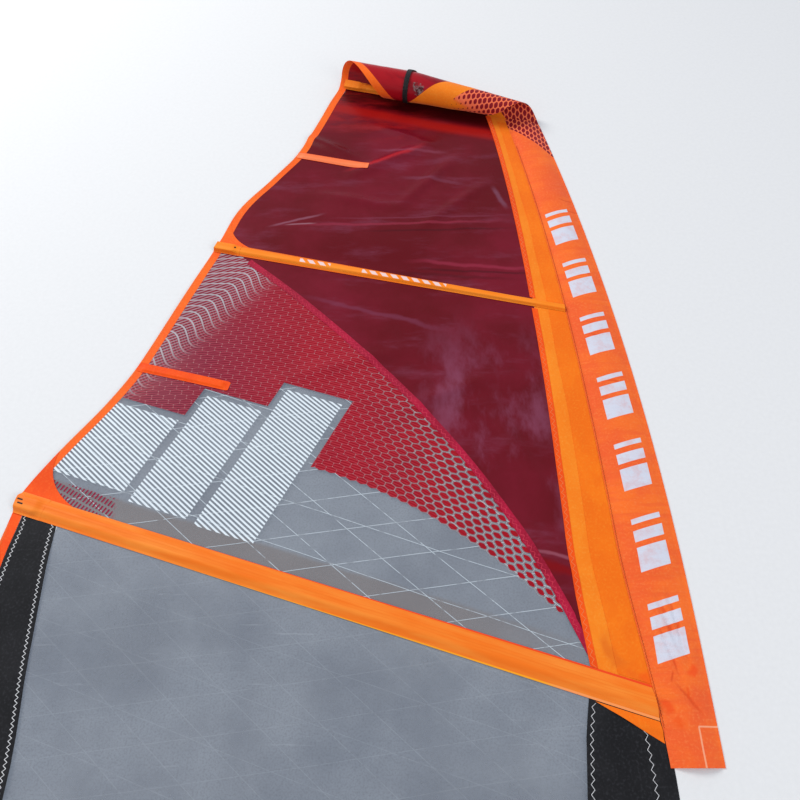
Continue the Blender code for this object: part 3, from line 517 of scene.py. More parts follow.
def grown(loop, by):
    """The loop moved outwards, so that neighbouring sheets lap at their seam."""
    side = 1 if turned_area(loop) > 0 else -1
    result = []
    count = len(loop)
    for i, (x, y) in enumerate(loop):
        before, ahead = loop[i - 1], loop[(i + 1) % count]
        along = Vector((ahead[0] - before[0], ahead[1] - before[1])).normalized()
        result.append((x + along.y * by * side, y - along.x * by * side))
    return result


def resampled(loop, step):
    points = []
    for a, b in zip(loop, loop[1:] + loop[:1]):
        count = max(1, round(math.dist(a, b) / step))
        across, up = b[0] - a[0], b[1] - a[1]
        points += [(a[0] + across * k / count, a[1] + up * k / count) for k in range(count)]
    return points


def inside(places, loops):
    """Which places lie inside the loops, by counting crossings."""
    hits = np.zeros(len(places), bool)
    x, y = places[:, 0], places[:, 1]
    for loop in loops:
        for (ax, ay), (bx, by) in zip(loop, loop[1:] + loop[:1]):
            if ay == by:
                continue
            crossed = (ay > y) != (by > y)
            hits ^= crossed & (x < (bx - ax) * (y - ay) / (by - ay) + ax)
    return hits


# Points of a sheet: height of a row, and least distance from the rim, as shares of the step
ROW_SHARE = 0.87
RIM_SHARE = 0.55


def spread(loops, step):
    """Points about a step apart over the inside of the loops, and the triangles between them."""
    tall = step * ROW_SHARE
    rims = [resampled(loop, step) for loop in loops]
    places = [place for rim in rims for place in rim]
    tree = kdtree.KDTree(len(places))
    for i, place in enumerate(places):
        tree.insert((*place, 0), i)
    tree.balance()
    edges = []
    for rim in rims:
        start = len(edges)
        edges += [(start + i, start + (i + 1) % len(rim)) for i in range(len(rim))]
    low, high = np.min(places, 0), np.max(places, 0)
    rows = int((high[1] - low[1]) / tall) + 1
    columns = int((high[0] - low[0]) / step) + 1
    field = []
    for row in range(1, rows):
        for column in range(columns + 1):
            x = low[0] + step * (column + 0.5 * (row % 2))
            field.append((x, low[1] + tall * row))
    if field:
        kept = inside(np.array(field), rims)
        for place, good in zip(field, kept):
            if good and tree.find((*place, 0))[2] > step * RIM_SHARE:
                places.append(place)
    found = geometry.delaunay_2d_cdt([Vector(place) for place in places], edges, [], 0, 0.000001)
    points, faces = found[0], found[2]
    middles = np.array([[sum(points[i][k] for i in face) / len(face) for k in (0, 1)] for face in faces])
    kept = inside(middles, rims)
    return [tuple(point) for point in points], [face for face, good in zip(faces, kept) if good]


def laid(name, loops, paint, base=0.0, thick=CLOTH_THICK, step=GRID, height=lift):
    """A sheet over the loops that follows the ripples; thick 0 leaves a single surface."""
    points, faces = spread(loops, step)
    body = bmesh.new()
    tops = [body.verts.new((x, y, base + thick + height(x, y))) for x, y in points]
    for face in faces:
        body.faces.new([tops[i] for i in face])
    if thick:
        lows = [body.verts.new((x, y, base + height(x, y))) for x, y in points]
        rim = [edge for edge in body.edges if len(edge.link_faces) == 1]
        index = {vert: i for i, vert in enumerate(tops)}
        walls = [(index[edge.verts[0]], index[edge.verts[1]]) for edge in rim]
        for face in faces:
            body.faces.new([lows[i] for i in reversed(face)])
        for one, two in walls:
            body.faces.new((tops[one], tops[two], lows[two], lows[one]))
    loose = [vert for vert in body.verts if not vert.link_faces]
    bmesh.ops.delete(body, geom=loose, context="VERTS")
    bmesh.ops.recalc_face_normals(body, faces=body.faces)
    if not thick and sum(face.normal.z for face in body.faces) < 0:
        bmesh.ops.reverse_faces(body, faces=body.faces)
    return mapped(name, body, paint, lambda vert: vert.co.xy)


def netted(rows, columns, place):
    """Rows of points and of their flat places, from a function of two shares from 0 to 1."""
    both = [[place(i / rows, j / columns) for j in range(columns + 1)] for i in range(rows + 1)]
    return [[spot for spot, _ in row] for row in both], [[flat for _, flat in row] for row in both]


def shell(name, grid, flats, paint, thick):
    """A sheet through rows of points, thickened downwards from its face, with flat places as its map."""
    rows, columns = len(grid), len(grid[0])
    body = bmesh.new()
    places = {}

    def normal(i, j):
        ahead = grid[min(i + 1, rows - 1)][j] - grid[max(i - 1, 0)][j]
        aside = grid[i][min(j + 1, columns - 1)] - grid[i][max(j - 1, 0)]
        return aside.cross(ahead).normalized()

    tops, lows = [], []
    for i in range(rows):
        tops.append([body.verts.new(grid[i][j]) for j in range(columns)])
        lows.append([body.verts.new(grid[i][j] - normal(i, j) * thick) for j in range(columns)])
        for j in range(columns):
            places[tops[i][j]] = places[lows[i][j]] = flats[i][j]
    for i in range(rows - 1):
        for j in range(columns - 1):
            body.faces.new((tops[i][j], tops[i][j + 1], tops[i + 1][j + 1], tops[i + 1][j]))
            body.faces.new((lows[i][j], lows[i + 1][j], lows[i + 1][j + 1], lows[i][j + 1]))
    for i in (0, rows - 1):
        for j in range(columns - 1):
            body.faces.new((tops[i][j], lows[i][j], lows[i][j + 1], tops[i][j + 1]))
    for j in (0, columns - 1):
        for i in range(rows - 1):
            body.faces.new((tops[i][j], tops[i + 1][j], lows[i + 1][j], lows[i][j]))
    bmesh.ops.recalc_face_normals(body, faces=body.faces)
    return mapped(name, body, paint, places.get)


def zigzag(name, path, paint, width, pitch, base):
    """A zigzag stitch as one flat thread along a path of (x, y) points."""
    length = [0.0]
    for a, b in zip(path, path[1:]):
        length.append(length[-1] + math.dist(a, b))
    count = int(length[-1] / (pitch / 2))
    points, at = [], 0
    for i in range(count + 1):
        goal = length[-1] * i / count
        while at < len(path) - 2 and length[at + 1] < goal:
            at += 1
        a, b = Vector(path[at]), Vector(path[at + 1])
        along = (b - a).normalized()
        place = a + along * (goal - length[at])
        side = Vector((-along.y, along.x)) * (width / 2 if i % 2 else -width / 2)
        points.append(place + side)
    body = bmesh.new()
    rows = []
    for i, point in enumerate(points):
        before, ahead = points[max(i - 1, 0)], points[min(i + 1, len(points) - 1)]
        along = (ahead - before).normalized()
        side = Vector((-along.y, along.x)) * STITCH_THREAD / 2
        along = along * STITCH_THREAD * 0.9
        z = base + lift(*point)
        corners = (
            (*(point - along), z),
            (*(point + side), z + STITCH_THREAD * 0.4),
            (*(point + along), z),
            (*(point - side), z - STITCH_THREAD * 0.2),
        )
        rows.append([body.verts.new(corner) for corner in corners])
    body.faces.new(rows[0])
    body.faces.new(rows[-1])
    for one, two in zip(rows, rows[1:]):
        for i in range(4):
            j = (i + 1) % 4
            body.faces.new((one[i], one[j], two[j], two[i]))
    bmesh.ops.recalc_face_normals(body, faces=body.faces)
    settle(finish_mesh(name, body, LOOK[paint], smooth=False), "coral")


def cut_size(places):
    """Width and length of the flat cut: its reach along its longest direction and across it."""
    spots = np.array(places)
    middle = spots.mean(0)
    _, _, turn = np.linalg.svd(spots - middle, full_matrices=False)
    reach = (spots - middle) @ turn.T
    spans = reach.max(0) - reach.min(0)
    return float(min(spans)), float(max(spans))


# Share of its box that a bent strip fills at most, and the share of its worked-out size that it fills
BENT_SHARE = 0.4
STRIP_SHARE = 0.8


def declare(loops, rests_on=()):
    """Works out a flat-cut sheet's area and reach from its loops, and a bent strip's own width, and keeps
    none of them.
    """
    area = abs(turned_area(loops[0])) - sum(abs(turned_area(loop)) for loop in loops[1:])
    width, length = cut_size(loops[0])
    if area < BENT_SHARE * width * length:
        width = area / length / STRIP_SHARE
    area = min(area, width * length)
    list(rests_on)


def lay_sheet(name, loops, paint, slot, *nodes, rests_on=(), **shape):
    """A flat-cut sheet, laid and settled."""
    piece = laid(name, loops, paint, **shape)
    settle(piece, slot, *nodes)
    declare(loops, rests_on=rests_on)


def net_sheet(name, rows, columns, place, paint, thick, slot, node, held):
    """A sheet through rows of points, settled, with its outline on the flat worked out."""
    grid, flats = netted(rows, columns, place)
    piece = settle(shell(name, grid, flats, paint, thick), slot, *([node] if node else []))
    sides = [row[-1] for row in flats[1:-1]], [row[0] for row in flats[-2:0:-1]]
    declare([flats[0] + sides[0] + flats[-1][::-1] + sides[1]])


# Materials


def rgb(code):
    """A colour as it is written in a picture, such as ff8800, in the renderer's own values."""
    parts = [int(code[i : i + 2], 16) / 255 for i in (0, 2, 4)]
    return (*[(c / 12.92 if c <= 0.04045 else ((c + 0.055) / 1.055) ** 2.4) for c in parts], 1.0)


def worked(operation, turned=False):
    """A method that does a sum with a value; turned takes the value last."""

    def method(self, *others):
        values = (self, *others)
        return self.paint.calc(operation, *(values[::-1] if turned else values))

    return method


class Value:
    """A number or a place in a material: arithmetic with it adds the nodes that do it."""

    __add__ = worked("ADD")
    __sub__ = worked("SUBTRACT")
    __rsub__ = worked("SUBTRACT", turned=True)
    __mul__ = worked("MULTIPLY")
    __or__ = worked("MAXIMUM")
    __and__ = worked("MINIMUM")
    __abs__ = worked("ABSOLUTE")
    sine = worked("SINE")
    fract = worked("FRACT")
    over = worked("GREATER_THAN")
    under = worked("LESS_THAN")

    def __init__(self, paint, socket):
        self.paint, self.socket = paint, socket

    def ramp(self, low, high):
        """0 below low and 1 above high, eased between."""
        inputs = {"Value": self, "From Min": low, "From Max": high}
        return self.paint.put("MapRange", inputs, interpolation_type="SMOOTHSTEP")

    def near(self, half, soft):
        """1 where the value is within half of nothing, 0 beyond half and soft."""
        return abs(self).ramp(half + soft, half)

    def stripe(self, half, soft):
        """1 within half of the middle of each whole step of the value."""
        return (self.fract() - 0.5).near(half, soft)

    def noise(self, scale, detail=3.0, roughness=0.5):
        inputs = {"Vector": self, "Scale": scale, "Detail": detail, "Roughness": roughness}
        return self.paint.put("TexNoise", inputs)

    def scaled(self, scale, turn=0.0):
        return self.paint.put("Mapping", {"Vector": self, "Rotation": (0, 0, turn), "Scale": scale})

    def moved(self, operation, by=(0, 0, 0)):
        return self.paint.put("VectorMath", {0: self, 1: by}, operation=operation)

    def split(self):
        x = self.paint.put("SeparateXYZ", {0: self})
        return x, Value(self.paint, x.socket.node.outputs[1])


class Paint:
    """A material in the making: a ground colour, colours laid over it, and a finish."""

    def __init__(self, name, roughness=0.6, gloss=0.22, **sockets):
        self.material = bpy.data.materials.new(name)
        self.material.use_nodes = True
        self.tree = self.material.node_tree
        self.shader = self.tree.nodes["Principled BSDF"]
        self.shader.inputs["Roughness"].default_value = roughness
        self.shader.inputs["Specular IOR Level"].default_value = gloss
        for socket, value in sockets.items():
            self.shader.inputs[socket.replace("_", " ")].default_value = value

    def put(self, kind, inputs=(), output=0, **settings):
        node = self.tree.nodes.new("ShaderNode" + kind)
        for key, value in settings.items():
            setattr(node, key, value)
        for key, value in dict(inputs).items():
            self.wire(value, node.inputs[key])
        return Value(self, node.outputs[output])

    def wire(self, value, socket):
        if isinstance(value, Value):
            self.tree.links.new(value.socket, socket)
        else:
            socket.default_value = rgb(value) if isinstance(value, str) else value

    def calc(self, operation, *values):
        return self.put("Math", dict(enumerate(values)), operation=operation)

    def map(self):
        return self.put("UVMap", uv_map="sail")

    def place(self):
        return self.put("TexCoord", output="Object")

    def mix(self, share, one, two):
        return self.put("Mix", {0: share, 6: one, 7: two}, 2, data_type="RGBA")

    def ground(self, share, one, two):
        self.base = self.mix(share, one, two)

    def lay(self, share, colour):
        self.base = self.mix(share, self.base, colour)

    def vary(self, name, value, low, high):
        """Lets a value from 0 to 1 move one of the shader's sockets from low to high."""
        inputs = {"Value": value, "To Min": low, "To Max": high}
        self.wire(self.put("MapRange", inputs), self.shader.inputs[name])

    def finished(self, height=None, strength=0.0, distance=0.0):
        self.wire(self.base, self.shader.inputs["Base Color"])
        if height:
            inputs = {"Height": height, "Strength": strength, "Distance": distance}
            self.wire(self.put("Bump", inputs), self.shader.inputs["Normal"])
        return self.material


def length_of(x, y):
    return x.paint.calc("SQRT", x * x + y * y)


def weave(where, pitch, turn=0.0):
    """Height of a plain weave of that pitch, from two crossing sets of threads."""
    x, y = where.scaled((1 / pitch, 1 / pitch, 1), turn).split()
    return abs((x * math.pi).sine()) | abs((y * math.pi).sine())


def cloth(name, main, shade, light, roughness=0.62, turn=0.0, prints_and_shade=None, folds=(1, 0.5, 1), depth=2.2):
    """Woven cloth with blotches, and puckers with painted shade in their hollows; print and painted shade
    may be laid over it.
    """
    paint = Paint(name, roughness, 0.15, Sheen_Weight=0.06, Sheen_Roughness=0.5)
    where = paint.map()
    paint.ground(where.noise(7.0, 4.0, 0.6).ramp(0.35, 0.7), shade, main)
    paint.lay(where.noise(160.0, 2.0).ramp(0.45, 0.8) * 0.5, light)
    puckers = where.scaled(folds).noise(38.0, 3.0, 0.6)
    # Painted shade in the hollows of the puckers
    paint.lay(puckers.ramp(0.50, 0.36) * 0.5, shade)
    if prints_and_shade:
        prints_and_shade(paint, where)
    return paint.finished(weave(where, 0.0022, turn) * 0.25 + puckers * depth, 0.55, 0.0007)


def stroke(x, y, start, end, half, wander):
    """Soft mask of a straight stroke between two places, a little uneven."""
    length = math.dist(start, end)
    ahead, up = (end[0] - start[0]) / length, (end[1] - start[1]) / length
    x, y = x - (start[0] + end[0]) / 2, y - (start[1] + end[1]) / 2
    reach = x * ahead + y * up
    aside = y * ahead - x * up + wander * (half * 5)
    return aside.near(half * 0.2, half) * reach.near(length * 0.2, length * 0.3)


def lay_strokes(paint, x, y, strokes, wander):
    for start, end, half, colour, share in strokes:
        paint.lay(stroke(x, y, start, end, half, wander) * share, colour)


def panel_painted_shade(paint, where):
    """Soft shade where the luff panel's foot is crumpled."""
    lay_strokes(paint, *where.split(), PANEL_STROKES, where.noise(12.0, 2.0) - 0.5)


def sleeve_print_and_shade(paint, where):
    """Painted shade along the sleeve's creases and on its foot, white leaning blocks along the sleeve, and
    dark cells at its head.
    """
    x, y = where.split()
    wander = where.noise(12.0, 2.0) - 0.5
    # Painted shade along the sleeve's creases
    for start, end, _, half in SLEEVE_CREASES:
        paint.lay(stroke(x, y, start, end, half * 0.8, wander) * 0.6, "de4a18")
    lay_strokes(paint, x, y, SLEEVE_STROKES, wander)
    rise = y - LUFF_PEAK
    across = x - (LUFF_REACH - rise * rise * LUFF_CURVE_ABOVE) + BLOCK_SET
    along = (y + across * BLOCK_LEAN - BLOCK_LOW) * (1 / BLOCK_PITCH)
    blocks = [(along.fract() - middle).near(half, 0.006) for middle, half in BLOCKS]
    mark = (blocks[0] | blocks[1] | blocks[2]) * across.near(BLOCK_HALF, 0.001)
    mark = mark * along.over(0.0) * along.under(BLOCK_COUNT)
    worn = where.noise(30.0, 4.0, 0.7).ramp(0.30, 0.6)
    paint.lay(mark, paint.mix(worn, "dcc6cc", "d9dbe6"))
    upper = y.over((CUTOUT_LOW + CUTOUT_HIGH) / 2)
    facing = (x - FACING_REAR).near(0.0016, 0.0008) * y.ramp(1.703, 1.701) * upper
    hem = (y - FACING_TOP).near(0.0014, 0.0008) * x.ramp(0.055, 0.056)
    paint.lay((facing | hem) * 0.7, "ffb890")
    lay_head_cells(paint, x, y)


def lay_head_cells(paint, x, y):
    """Dark cells between coral lines, from a slanted line on the sleeve to where they fade on the roll."""
    edge, _, lozenge, _ = cells(paint, y * (1 / 0.027), x * (HEX_TALL / 0.0135))
    start = y + x * 1.05 - CELLS_START
    low, high = unrolled(150, rear_along(150)), unrolled(330, rear_along(330))
    lean = (high[0] - low[0]) / (high[1] - low[1])
    inside_seam = x - y * lean + (lean * low[1] - low[0])
    fade = y.ramp(4.02, 3.94) | inside_seam.ramp(0.005, CELLS_FADE)
    room = fade * 0.34 + 0.06 - (edge * 0.4 + lozenge * 0.6)
    paint.lay(start.ramp(-0.004, 0.004) * fade.ramp(0.0, 0.5) * 0.6, "ff7d5c")
    paint.lay(fade.ramp(0.35, 0.0), "ff8818")
    paint.lay(room.ramp(-0.02, 0.03) * start.over(0.0), "8c1220")


def pocket_print(paint, where):
    """Two runs of small white leaning bars along the upper batten's pocket, and a hole at its end."""
    q, c = where.split()
    bars = ((q + c) * (1 / 0.034)).stripe(0.27, 0.03)
    runs = (q - 0.335).near(0.050, 0.001) | (q - 0.625).near(0.135, 0.001)
    paint.lay(bars * runs * c.near(0.0062, 0.0006) * 0.85, "f0dcdc")
    paint.lay(length_of(q - 0.066, c - 0.002).ramp(0.0038, 0.0028), "241410")


def band_shade_and_marks(paint, where):
    """Painted shade of fine pleats, a pale hem near the sleeve, and dark slots where the tensioner is
    reached.
    """
    q, c = where.split()
    # Painted shade of fine pleats along the upper half of the pocket
    pleats = ((c + where.noise(6.0) * 0.008) * 900.0).sine()
    paint.lay(pleats.ramp(0.3, 1.0) * (c - 0.006).near(0.006, 0.008) * 0.35, "f06a10")
    paint.lay(q.ramp(1.40, 1.46) * c.ramp(-0.0285, -0.0300), "ff9c58")
    one, two = [
        (q - middle).near(0.0075, 0.0008) * (c - offset).near(0.0018, 0.0008)
        for middle, offset in ((0.012, 0.006), (0.018, -0.004))
    ]
    paint.lay(one | two, "2a1812")


def lay_roll_painted_light(paint, x, y, glare_streak):
    """Dark then bright strips on the film below the roll, whose shadow and red mirror image fall there."""
    slope = math.tan(ROLL_SLANT)
    below = paint.calc("MULTIPLY_ADD", x, -slope, ROLL_Y + ROLL_X * slope) - y
    # Bright red strip and patch below the roll's shadow: painted red reflection of the roll
    strip = below.ramp(0.06, 0.10) * below.ramp(0.150, 0.118)
    patch = x.ramp(-0.42, -0.60) * below.ramp(0.30, 0.12) * glare_streak.ramp(0.42, 0.60) * 0.8
    paint.lay((strip | patch) * 0.9, "a01410")
    # Painted shadow of the roll on the film just below it
    dark = below.ramp(0.10, 0.05) * below.ramp(-0.05, -0.01) * (1.0 - patch * 0.8)
    paint.lay(dark * 0.9, "3a0306")
    # Painted brighter red light in streaks on the rolled film itself
    paint.lay(below.ramp(-0.03, -0.08) * glare_streak.ramp(0.30, 0.55) * 0.75, "b0101e")


def crumpled_spot(paint, x, y):
    """Mask of the small crumpled spot on the rolled film beside the strap."""
    across, up = unrolled(SPOT_TURN, SPOT_ALONG)
    ragged = paint.put("CombineXYZ", {0: x, 1: y}).noise(70.0, 3.0) - 0.5
    return (length_of(x - across, y - up) + ragged * 0.05).ramp(0.024, 0.010)


def film(name):
    """Glossy dark red film, with a painted violet reflection of the sky, fine creases, strokes of painted
    highlight and shade, and painted shadow and reflection strips along the roll.
    """
    paint = Paint(name, 0.3, 0.17)
    where = paint.map()
    x, y = where.split()
    broad = where.noise(2.3, 5.0, 0.62)
    glare_streak = where.scaled((1.6, 6.0, 1), 0.35).noise(1.9, 6.0, 0.68)
    wisp = where.scaled((4.5, 2.2, 1), 0.6).noise(1.7, 6.0, 0.64)
    paint.ground(broad.ramp(0.36, 0.68), "620612", "761024")
    # Painted violet reflection of the sky: in streaks over the film and in one broad patch
    reflection_patch = (x + 0.36).near(0.05, 0.30) * (y - 2.42).near(0.15, 0.35) * wisp.ramp(0.46, 0.70)
    paint.lay(glare_streak.ramp(0.50, 0.80) * 0.42 | reflection_patch * 0.70, "8c4a64")
    # Painted highlights and painted shade along the creases
    lay_strokes(paint, x, y, FILM_STROKES, where.noise(7.0, 3.0) - 0.5)
    lay_roll_painted_light(paint, x, y, glare_streak)
    spot = crumpled_spot(paint, x, y)
    flecks = where.noise(75.0, 4.0, 0.7).ramp(0.40, 0.62)
    # Dark and pale flecks over the crumpled spot
    paint.lay(spot * 0.85, paint.mix(flecks, "2a1418", "9a8c88"))
    paint.vary("Roughness", broad, 0.20, 0.38)
    creased = where.scaled((1, 2.0, 1), 0.5).noise(6.0)
    crushed = spot * where.noise(150.0, 4.0, 0.8) * 2.0
    return paint.finished(creased * 4.0 + where.noise(46.0, 2.0) * 0.16 + crushed, 0.5, 0.0012)


def scrim(where, x, y):
    """Threads laid in the clear film, in three directions, each a little bowed."""
    bow = (where.noise(1.3, 2.0) - 0.5) * 0.10
    masks = []
    for turn, pitch, half, bowed in SCRIM:
        across = x * (-math.sin(turn) / pitch) + y * (math.cos(turn) / pitch) + bow * bowed
        masks.append(across.stripe(half / pitch, 0.0006 / pitch))
    return (masks[0] | masks[1] | masks[2]) * where.noise(40.0).ramp(0.25, 0.5)


def cells(paint, along, rows):
    """Staggered cells: how far out a place is as hexagon, ring and lozenge, and its row's middle."""
    spans = (1.0, math.sqrt(3), 1.0)
    place = paint.put("CombineXYZ", {0: along, 1: rows})
    options = []
    for shift in (0.0, 0.5):
        part = place.moved("DIVIDE", spans).moved("ADD", (shift, shift, 0)).moved("FRACTION")
        offset = part.moved("SUBTRACT", (0.5, 0.5, 0)).moved("MULTIPLY", spans)
        gx, gy = offset.moved("ABSOLUTE").split()
        middle = length_of(gx, gy)
        edge = gx | gx * 0.5 + gy * HEX_TALL
        options.append((edge, middle, gx * 0.31 + gy * 0.45 + middle * 0.5, offset.split()[1]))
    first = options[0][0].under(options[1][0])
    edge, middle, lozenge, off = [two + first * (one - two) for one, two in zip(*options)]
    return edge, middle, lozenge, rows - off


def hatch(x, y):
    """Hatched leaning bars: height above the long batten, distance outside the bars, and their stripes."""
    height, rise = BATTEN_LINES[2]
    above = y + x * rise - height
    leaned = x - above * HATCH_LEAN
    bars = []
    for middle, half, up, tall in HATCH_BARS:
        bars.append((abs(leaned - middle) - half) | (abs(above - up) - tall))
    across = x * math.sin(HATCH_TURN) + y * math.cos(HATCH_TURN)
    stripe = x.paint.calc("DIVIDE", across, HATCH_PITCH).stripe(0.225, 0.06)
    return above, bars[0] & bars[1] & bars[2], stripe


def corner_dashes(x, y, above, outside):
    """Short slanted dashes in the corner between the leech tape and the long batten."""
    dash = ((x - y * 0.62) * (1 / 0.0125)).stripe(0.20, 0.08)
    level = ((above + x * 0.20) * (1 / 0.024)).stripe(0.34, 0.06)
    room = x.ramp(-1.345, -1.365) * above.ramp(0.125, 0.115)
    return dash * level * room * outside.ramp(HATCH_OUTLINE, HATCH_OUTLINE + 0.004)


def lay_haze(paint, where):
    """Ground of the clear film: smoky blue grey with pale blooms."""
    paint.ground(where.noise(3.0, 5.0, 0.6).ramp(0.3, 0.7), "6c7583", "8b949f")
    paint.lay(where.noise(210.0, 3.0, 0.7).ramp(0.4, 0.75) * 0.5, "545c66")


def ply(name):
    """Clear laminate with bowed threads, a red cell print on its rings, and hatched white bars."""
    paint = Paint(name, 0.32, 0.15)
    where = paint.map()
    x, y = where.split()
    wander = where.noise(26.0, 2.0) - 0.5
    past = (x - WAVE_POINT[0]) * math.sin(WAVE_TURN) - (y - WAVE_POINT[1]) * math.cos(WAVE_TURN)
    wave = past.ramp(0.07, -0.05) * past.ramp(-0.40, -0.05) * 0.085
    waved = past.ramp(0.09, -0.02)
    across, up = x - PRINT_CENTRE[0], y - PRINT_CENTRE[1]
    rows = length_of(across, up) - (wave + wander * 0.004)
    turn = paint.calc("ARCTAN2", across, up)
    found = cells(paint, turn * (PRINT_SPAN / CELL_LENGTH), rows * (HEX_TALL / CELL_ROW))
    edge, middle, lozenge, row = found
    opened = x.ramp(-0.80, -0.22)
    rounded = opened * opened
    shape = edge * (1.0 - rounded) + lozenge * rounded
    room = 0.5 - (opened * 0.135 + 0.024) - shape
    cell = room.ramp(-0.012, 0.018) | waved
    crest = (rows * (1 / WAVE_PITCH)).stripe(0.055, 0.05)
    fine = (x * (-0.42 / FINE_PITCH) + y * (0.907 / FINE_PITCH)).stripe(0.13, 0.12)
    above, outside, stripe = hatch(x, y)
    printed = row.over(PRINT_RADIUS * HEX_TALL / CELL_ROW) * y.over(PRINT_FOOT)
    printed = printed * outside.ramp(HATCH_OUTLINE - 0.001, HATCH_OUTLINE + 0.001)
    lay_haze(paint, where)
    threads = scrim(where, x, y)
    paint.lay(threads * 0.85, "c9d3d8")
    smoke = (above + wander * 0.012).ramp(0.094, 0.078) * x.ramp(-0.05, -0.5) * (1.0 - threads)
    paint.lay(smoke * 0.7, "6f625d")
    red = paint.mix(x.ramp(-1.25, -0.85), "781a34", "a80e1e")
    red = paint.mix(where.noise(9.0, 4.0).ramp(0.4, 0.7) * 0.5, red, "8e0c1e")
    drawn = ((rows + wander * 0.003) * (2 * math.pi / DRAWN_PITCH)).sine()
    closed = x.ramp(-0.30, -0.75)
    red = paint.mix(drawn.ramp(0.1, 0.9) * closed * 0.45, red, "c04858")
    red = paint.mix(drawn.ramp(-0.1, -0.9) * closed * 0.5, red, "700c20")
    line = paint.mix(opened, "a04a54", "b9b0ac")
    line = paint.mix(middle.ramp(0.54, 0.565) * (1.0 - rounded) * 0.8, line, "d0c4ba")
    waves = waved * (crest | fine * 0.55)
    solid = cell | (1.0 - opened) | (edge - 0.497).near(0.012, 0.02)
    inked = printed * solid
    paint.lay(inked, paint.mix(waves, paint.mix(cell, line, red), "b3adb0"))
    dashes = corner_dashes(x, y, above, outside)
    paint.lay(dashes, "8c1a3a")
    bars = outside.ramp(0.0008, -0.0008) * stripe
    paint.lay(bars, "e4eef2")
    paint.wire(threads | 0.66 | inked | bars | dashes, paint.shader.inputs["Alpha"])
    creased = where.scaled((1, 1.8, 1), 0.4).noise(5.0)
    return paint.finished(creased * 3.0 + threads * 0.25 + cell * 0.06, 0.4, 0.0010)


def window(name):
    """Clear film with a blue grey haze, scuffs and soft creases."""
    paint = Paint(name, 0.22)
    where = paint.map()
    lay_haze(paint, where)
    scratch = where.scaled((4, 60, 1), 0.6).noise(1.0, 4.0, 0.7)
    paint.lay(scratch.ramp(0.62, 0.8) * 0.4, "c4ccd2")
    paint.lay(scrim(where, *where.split()) * 0.12, "c9d3d8")
    paint.vary("Alpha", where.noise(2.2, 4.0, 0.6), 0.55, 0.78)
    return paint.finished(where.scaled((1.4, 1, 1), 0.9).noise(4.0) * 3.0, 0.4, 0.0012)


def pocket_cloth(name, main, light, edge_low, edge_high, half, prints_and_shade=None):
    """Smooth cloth of a batten pocket, with coloured edges; its map is (along, across)."""
    paint = Paint(name, 0.5, 0.15, Sheen_Weight=0.05)
    where = paint.map()
    q, c = where.split()
    paint.ground(where.scaled((3, 30, 1)).noise(1.2, 4.0, 0.6).ramp(0.35, 0.75), main, light)
    paint.lay(c.ramp(0.0025 - half, 0.0012 - half), edge_low)
    # Band along the upper edge; on the long batten's pocket its dark red is painted shade along that edge
    paint.lay(c.ramp(half - 0.0028, half - 0.0015), edge_high)
    # Print and painted shade laid over the pocket's cloth
    if prints_and_shade:
        prints_and_shade(paint, where)
    inset = half - 0.005
    lines = (c + inset).near(0.0003, 0.0009) + (c - inset).near(0.0003, 0.0009)
    seam = lines * (q * (2 * math.pi / 0.005)).sine().ramp(-0.4, 0.4)
    return paint.finished(weave(where, 0.0015) * 0.2 + seam, 0.5, 0.0006)


def webbing(name):
    """Coarse woven tape with a herringbone of threads along it."""
    paint = Paint(name, 0.55, 0.35)
    along, across = paint.map().scaled((1 / 0.0016, 1 / 0.0022, 1)).split()
    twill = ((along + abs(across.fract() - 0.5)) * (2 * math.pi)).sine()
    paint.ground(twill.ramp(-1.0, 1.0), "060607", "131315")
    return paint.finished(twill, 0.7, 0.0004)


def foam_cloth(name):
    """Dark neoprene: fine knit over soft foam, a little scuffed."""
    paint = Paint(name, 0.85, Sheen_Weight=0.35)
    where = paint.map()
    paint.ground(where.noise(24.0, 5.0, 0.7).ramp(0.5, 0.75), "26262a", "3b3b40")
    return paint.finished(weave(where, 0.0018, 0.785) * 0.5 + where.noise(60.0), 0.5, 0.0006)


def carbon(name):
    """Wound carbon rod: dark, slightly glossy, with fine spiral bands."""
    paint = Paint(name, 0.34, 0.5)
    where = paint.place()
    x, y = where.split()
    band = ((x + y) * 900.0).sine()
    paint.ground(band.ramp(-0.5, 1.0), "17171a", "2b2b30")
    paint.lay(where.noise(240.0) * 0.4, "3c3c42")
    return paint.finished(band, 0.25, 0.0002)


def plastic(name):
    """Moulded black plastic with a fine grain and paler scuffs."""
    paint = Paint(name, 0.48, 0.45)
    where = paint.place()
    paint.ground(where.noise(130.0, 6.0, 0.7).ramp(0.62, 0.8), "1c1c1f", "46464b")
    return paint.finished(where.noise(1400.0, 2.0), 0.3, 0.0002)


def steel(name):
    """Brushed stainless steel with faint smears."""
    paint = Paint(name, 0.3, 0.5, Metallic=1.0)
    where = paint.place()
    brushed = where.scaled((60, 1400, 60)).noise(1.0)
    paint.ground(where.noise(70.0).ramp(0.3, 0.75), "b9bcc0", "d6d8da")
    paint.vary("Roughness", brushed, 0.2, 0.42)
    return paint.finished(brushed, 0.15, 0.0002)


def thread(name, main, shade):
    """Sewing thread with a fine twist."""
    paint = Paint(name, 0.6)
    paint.ground(paint.place().noise(900.0, 1.0), shade, main)
    return paint.finished()


# Stage


def add_light(name, place, target, size, power):
    light = bpy.data.objects.new(name, bpy.data.lights.new(name, "AREA"))
    light.data.shape = "DISK"
    light.data.size = size
    light.data.energy = power
    light.location = place
    light.rotation_euler = (Vector(target) - Vector(place)).to_track_quat("-Z", "Y").to_euler()
    bpy.context.scene.collection.objects.link(light)


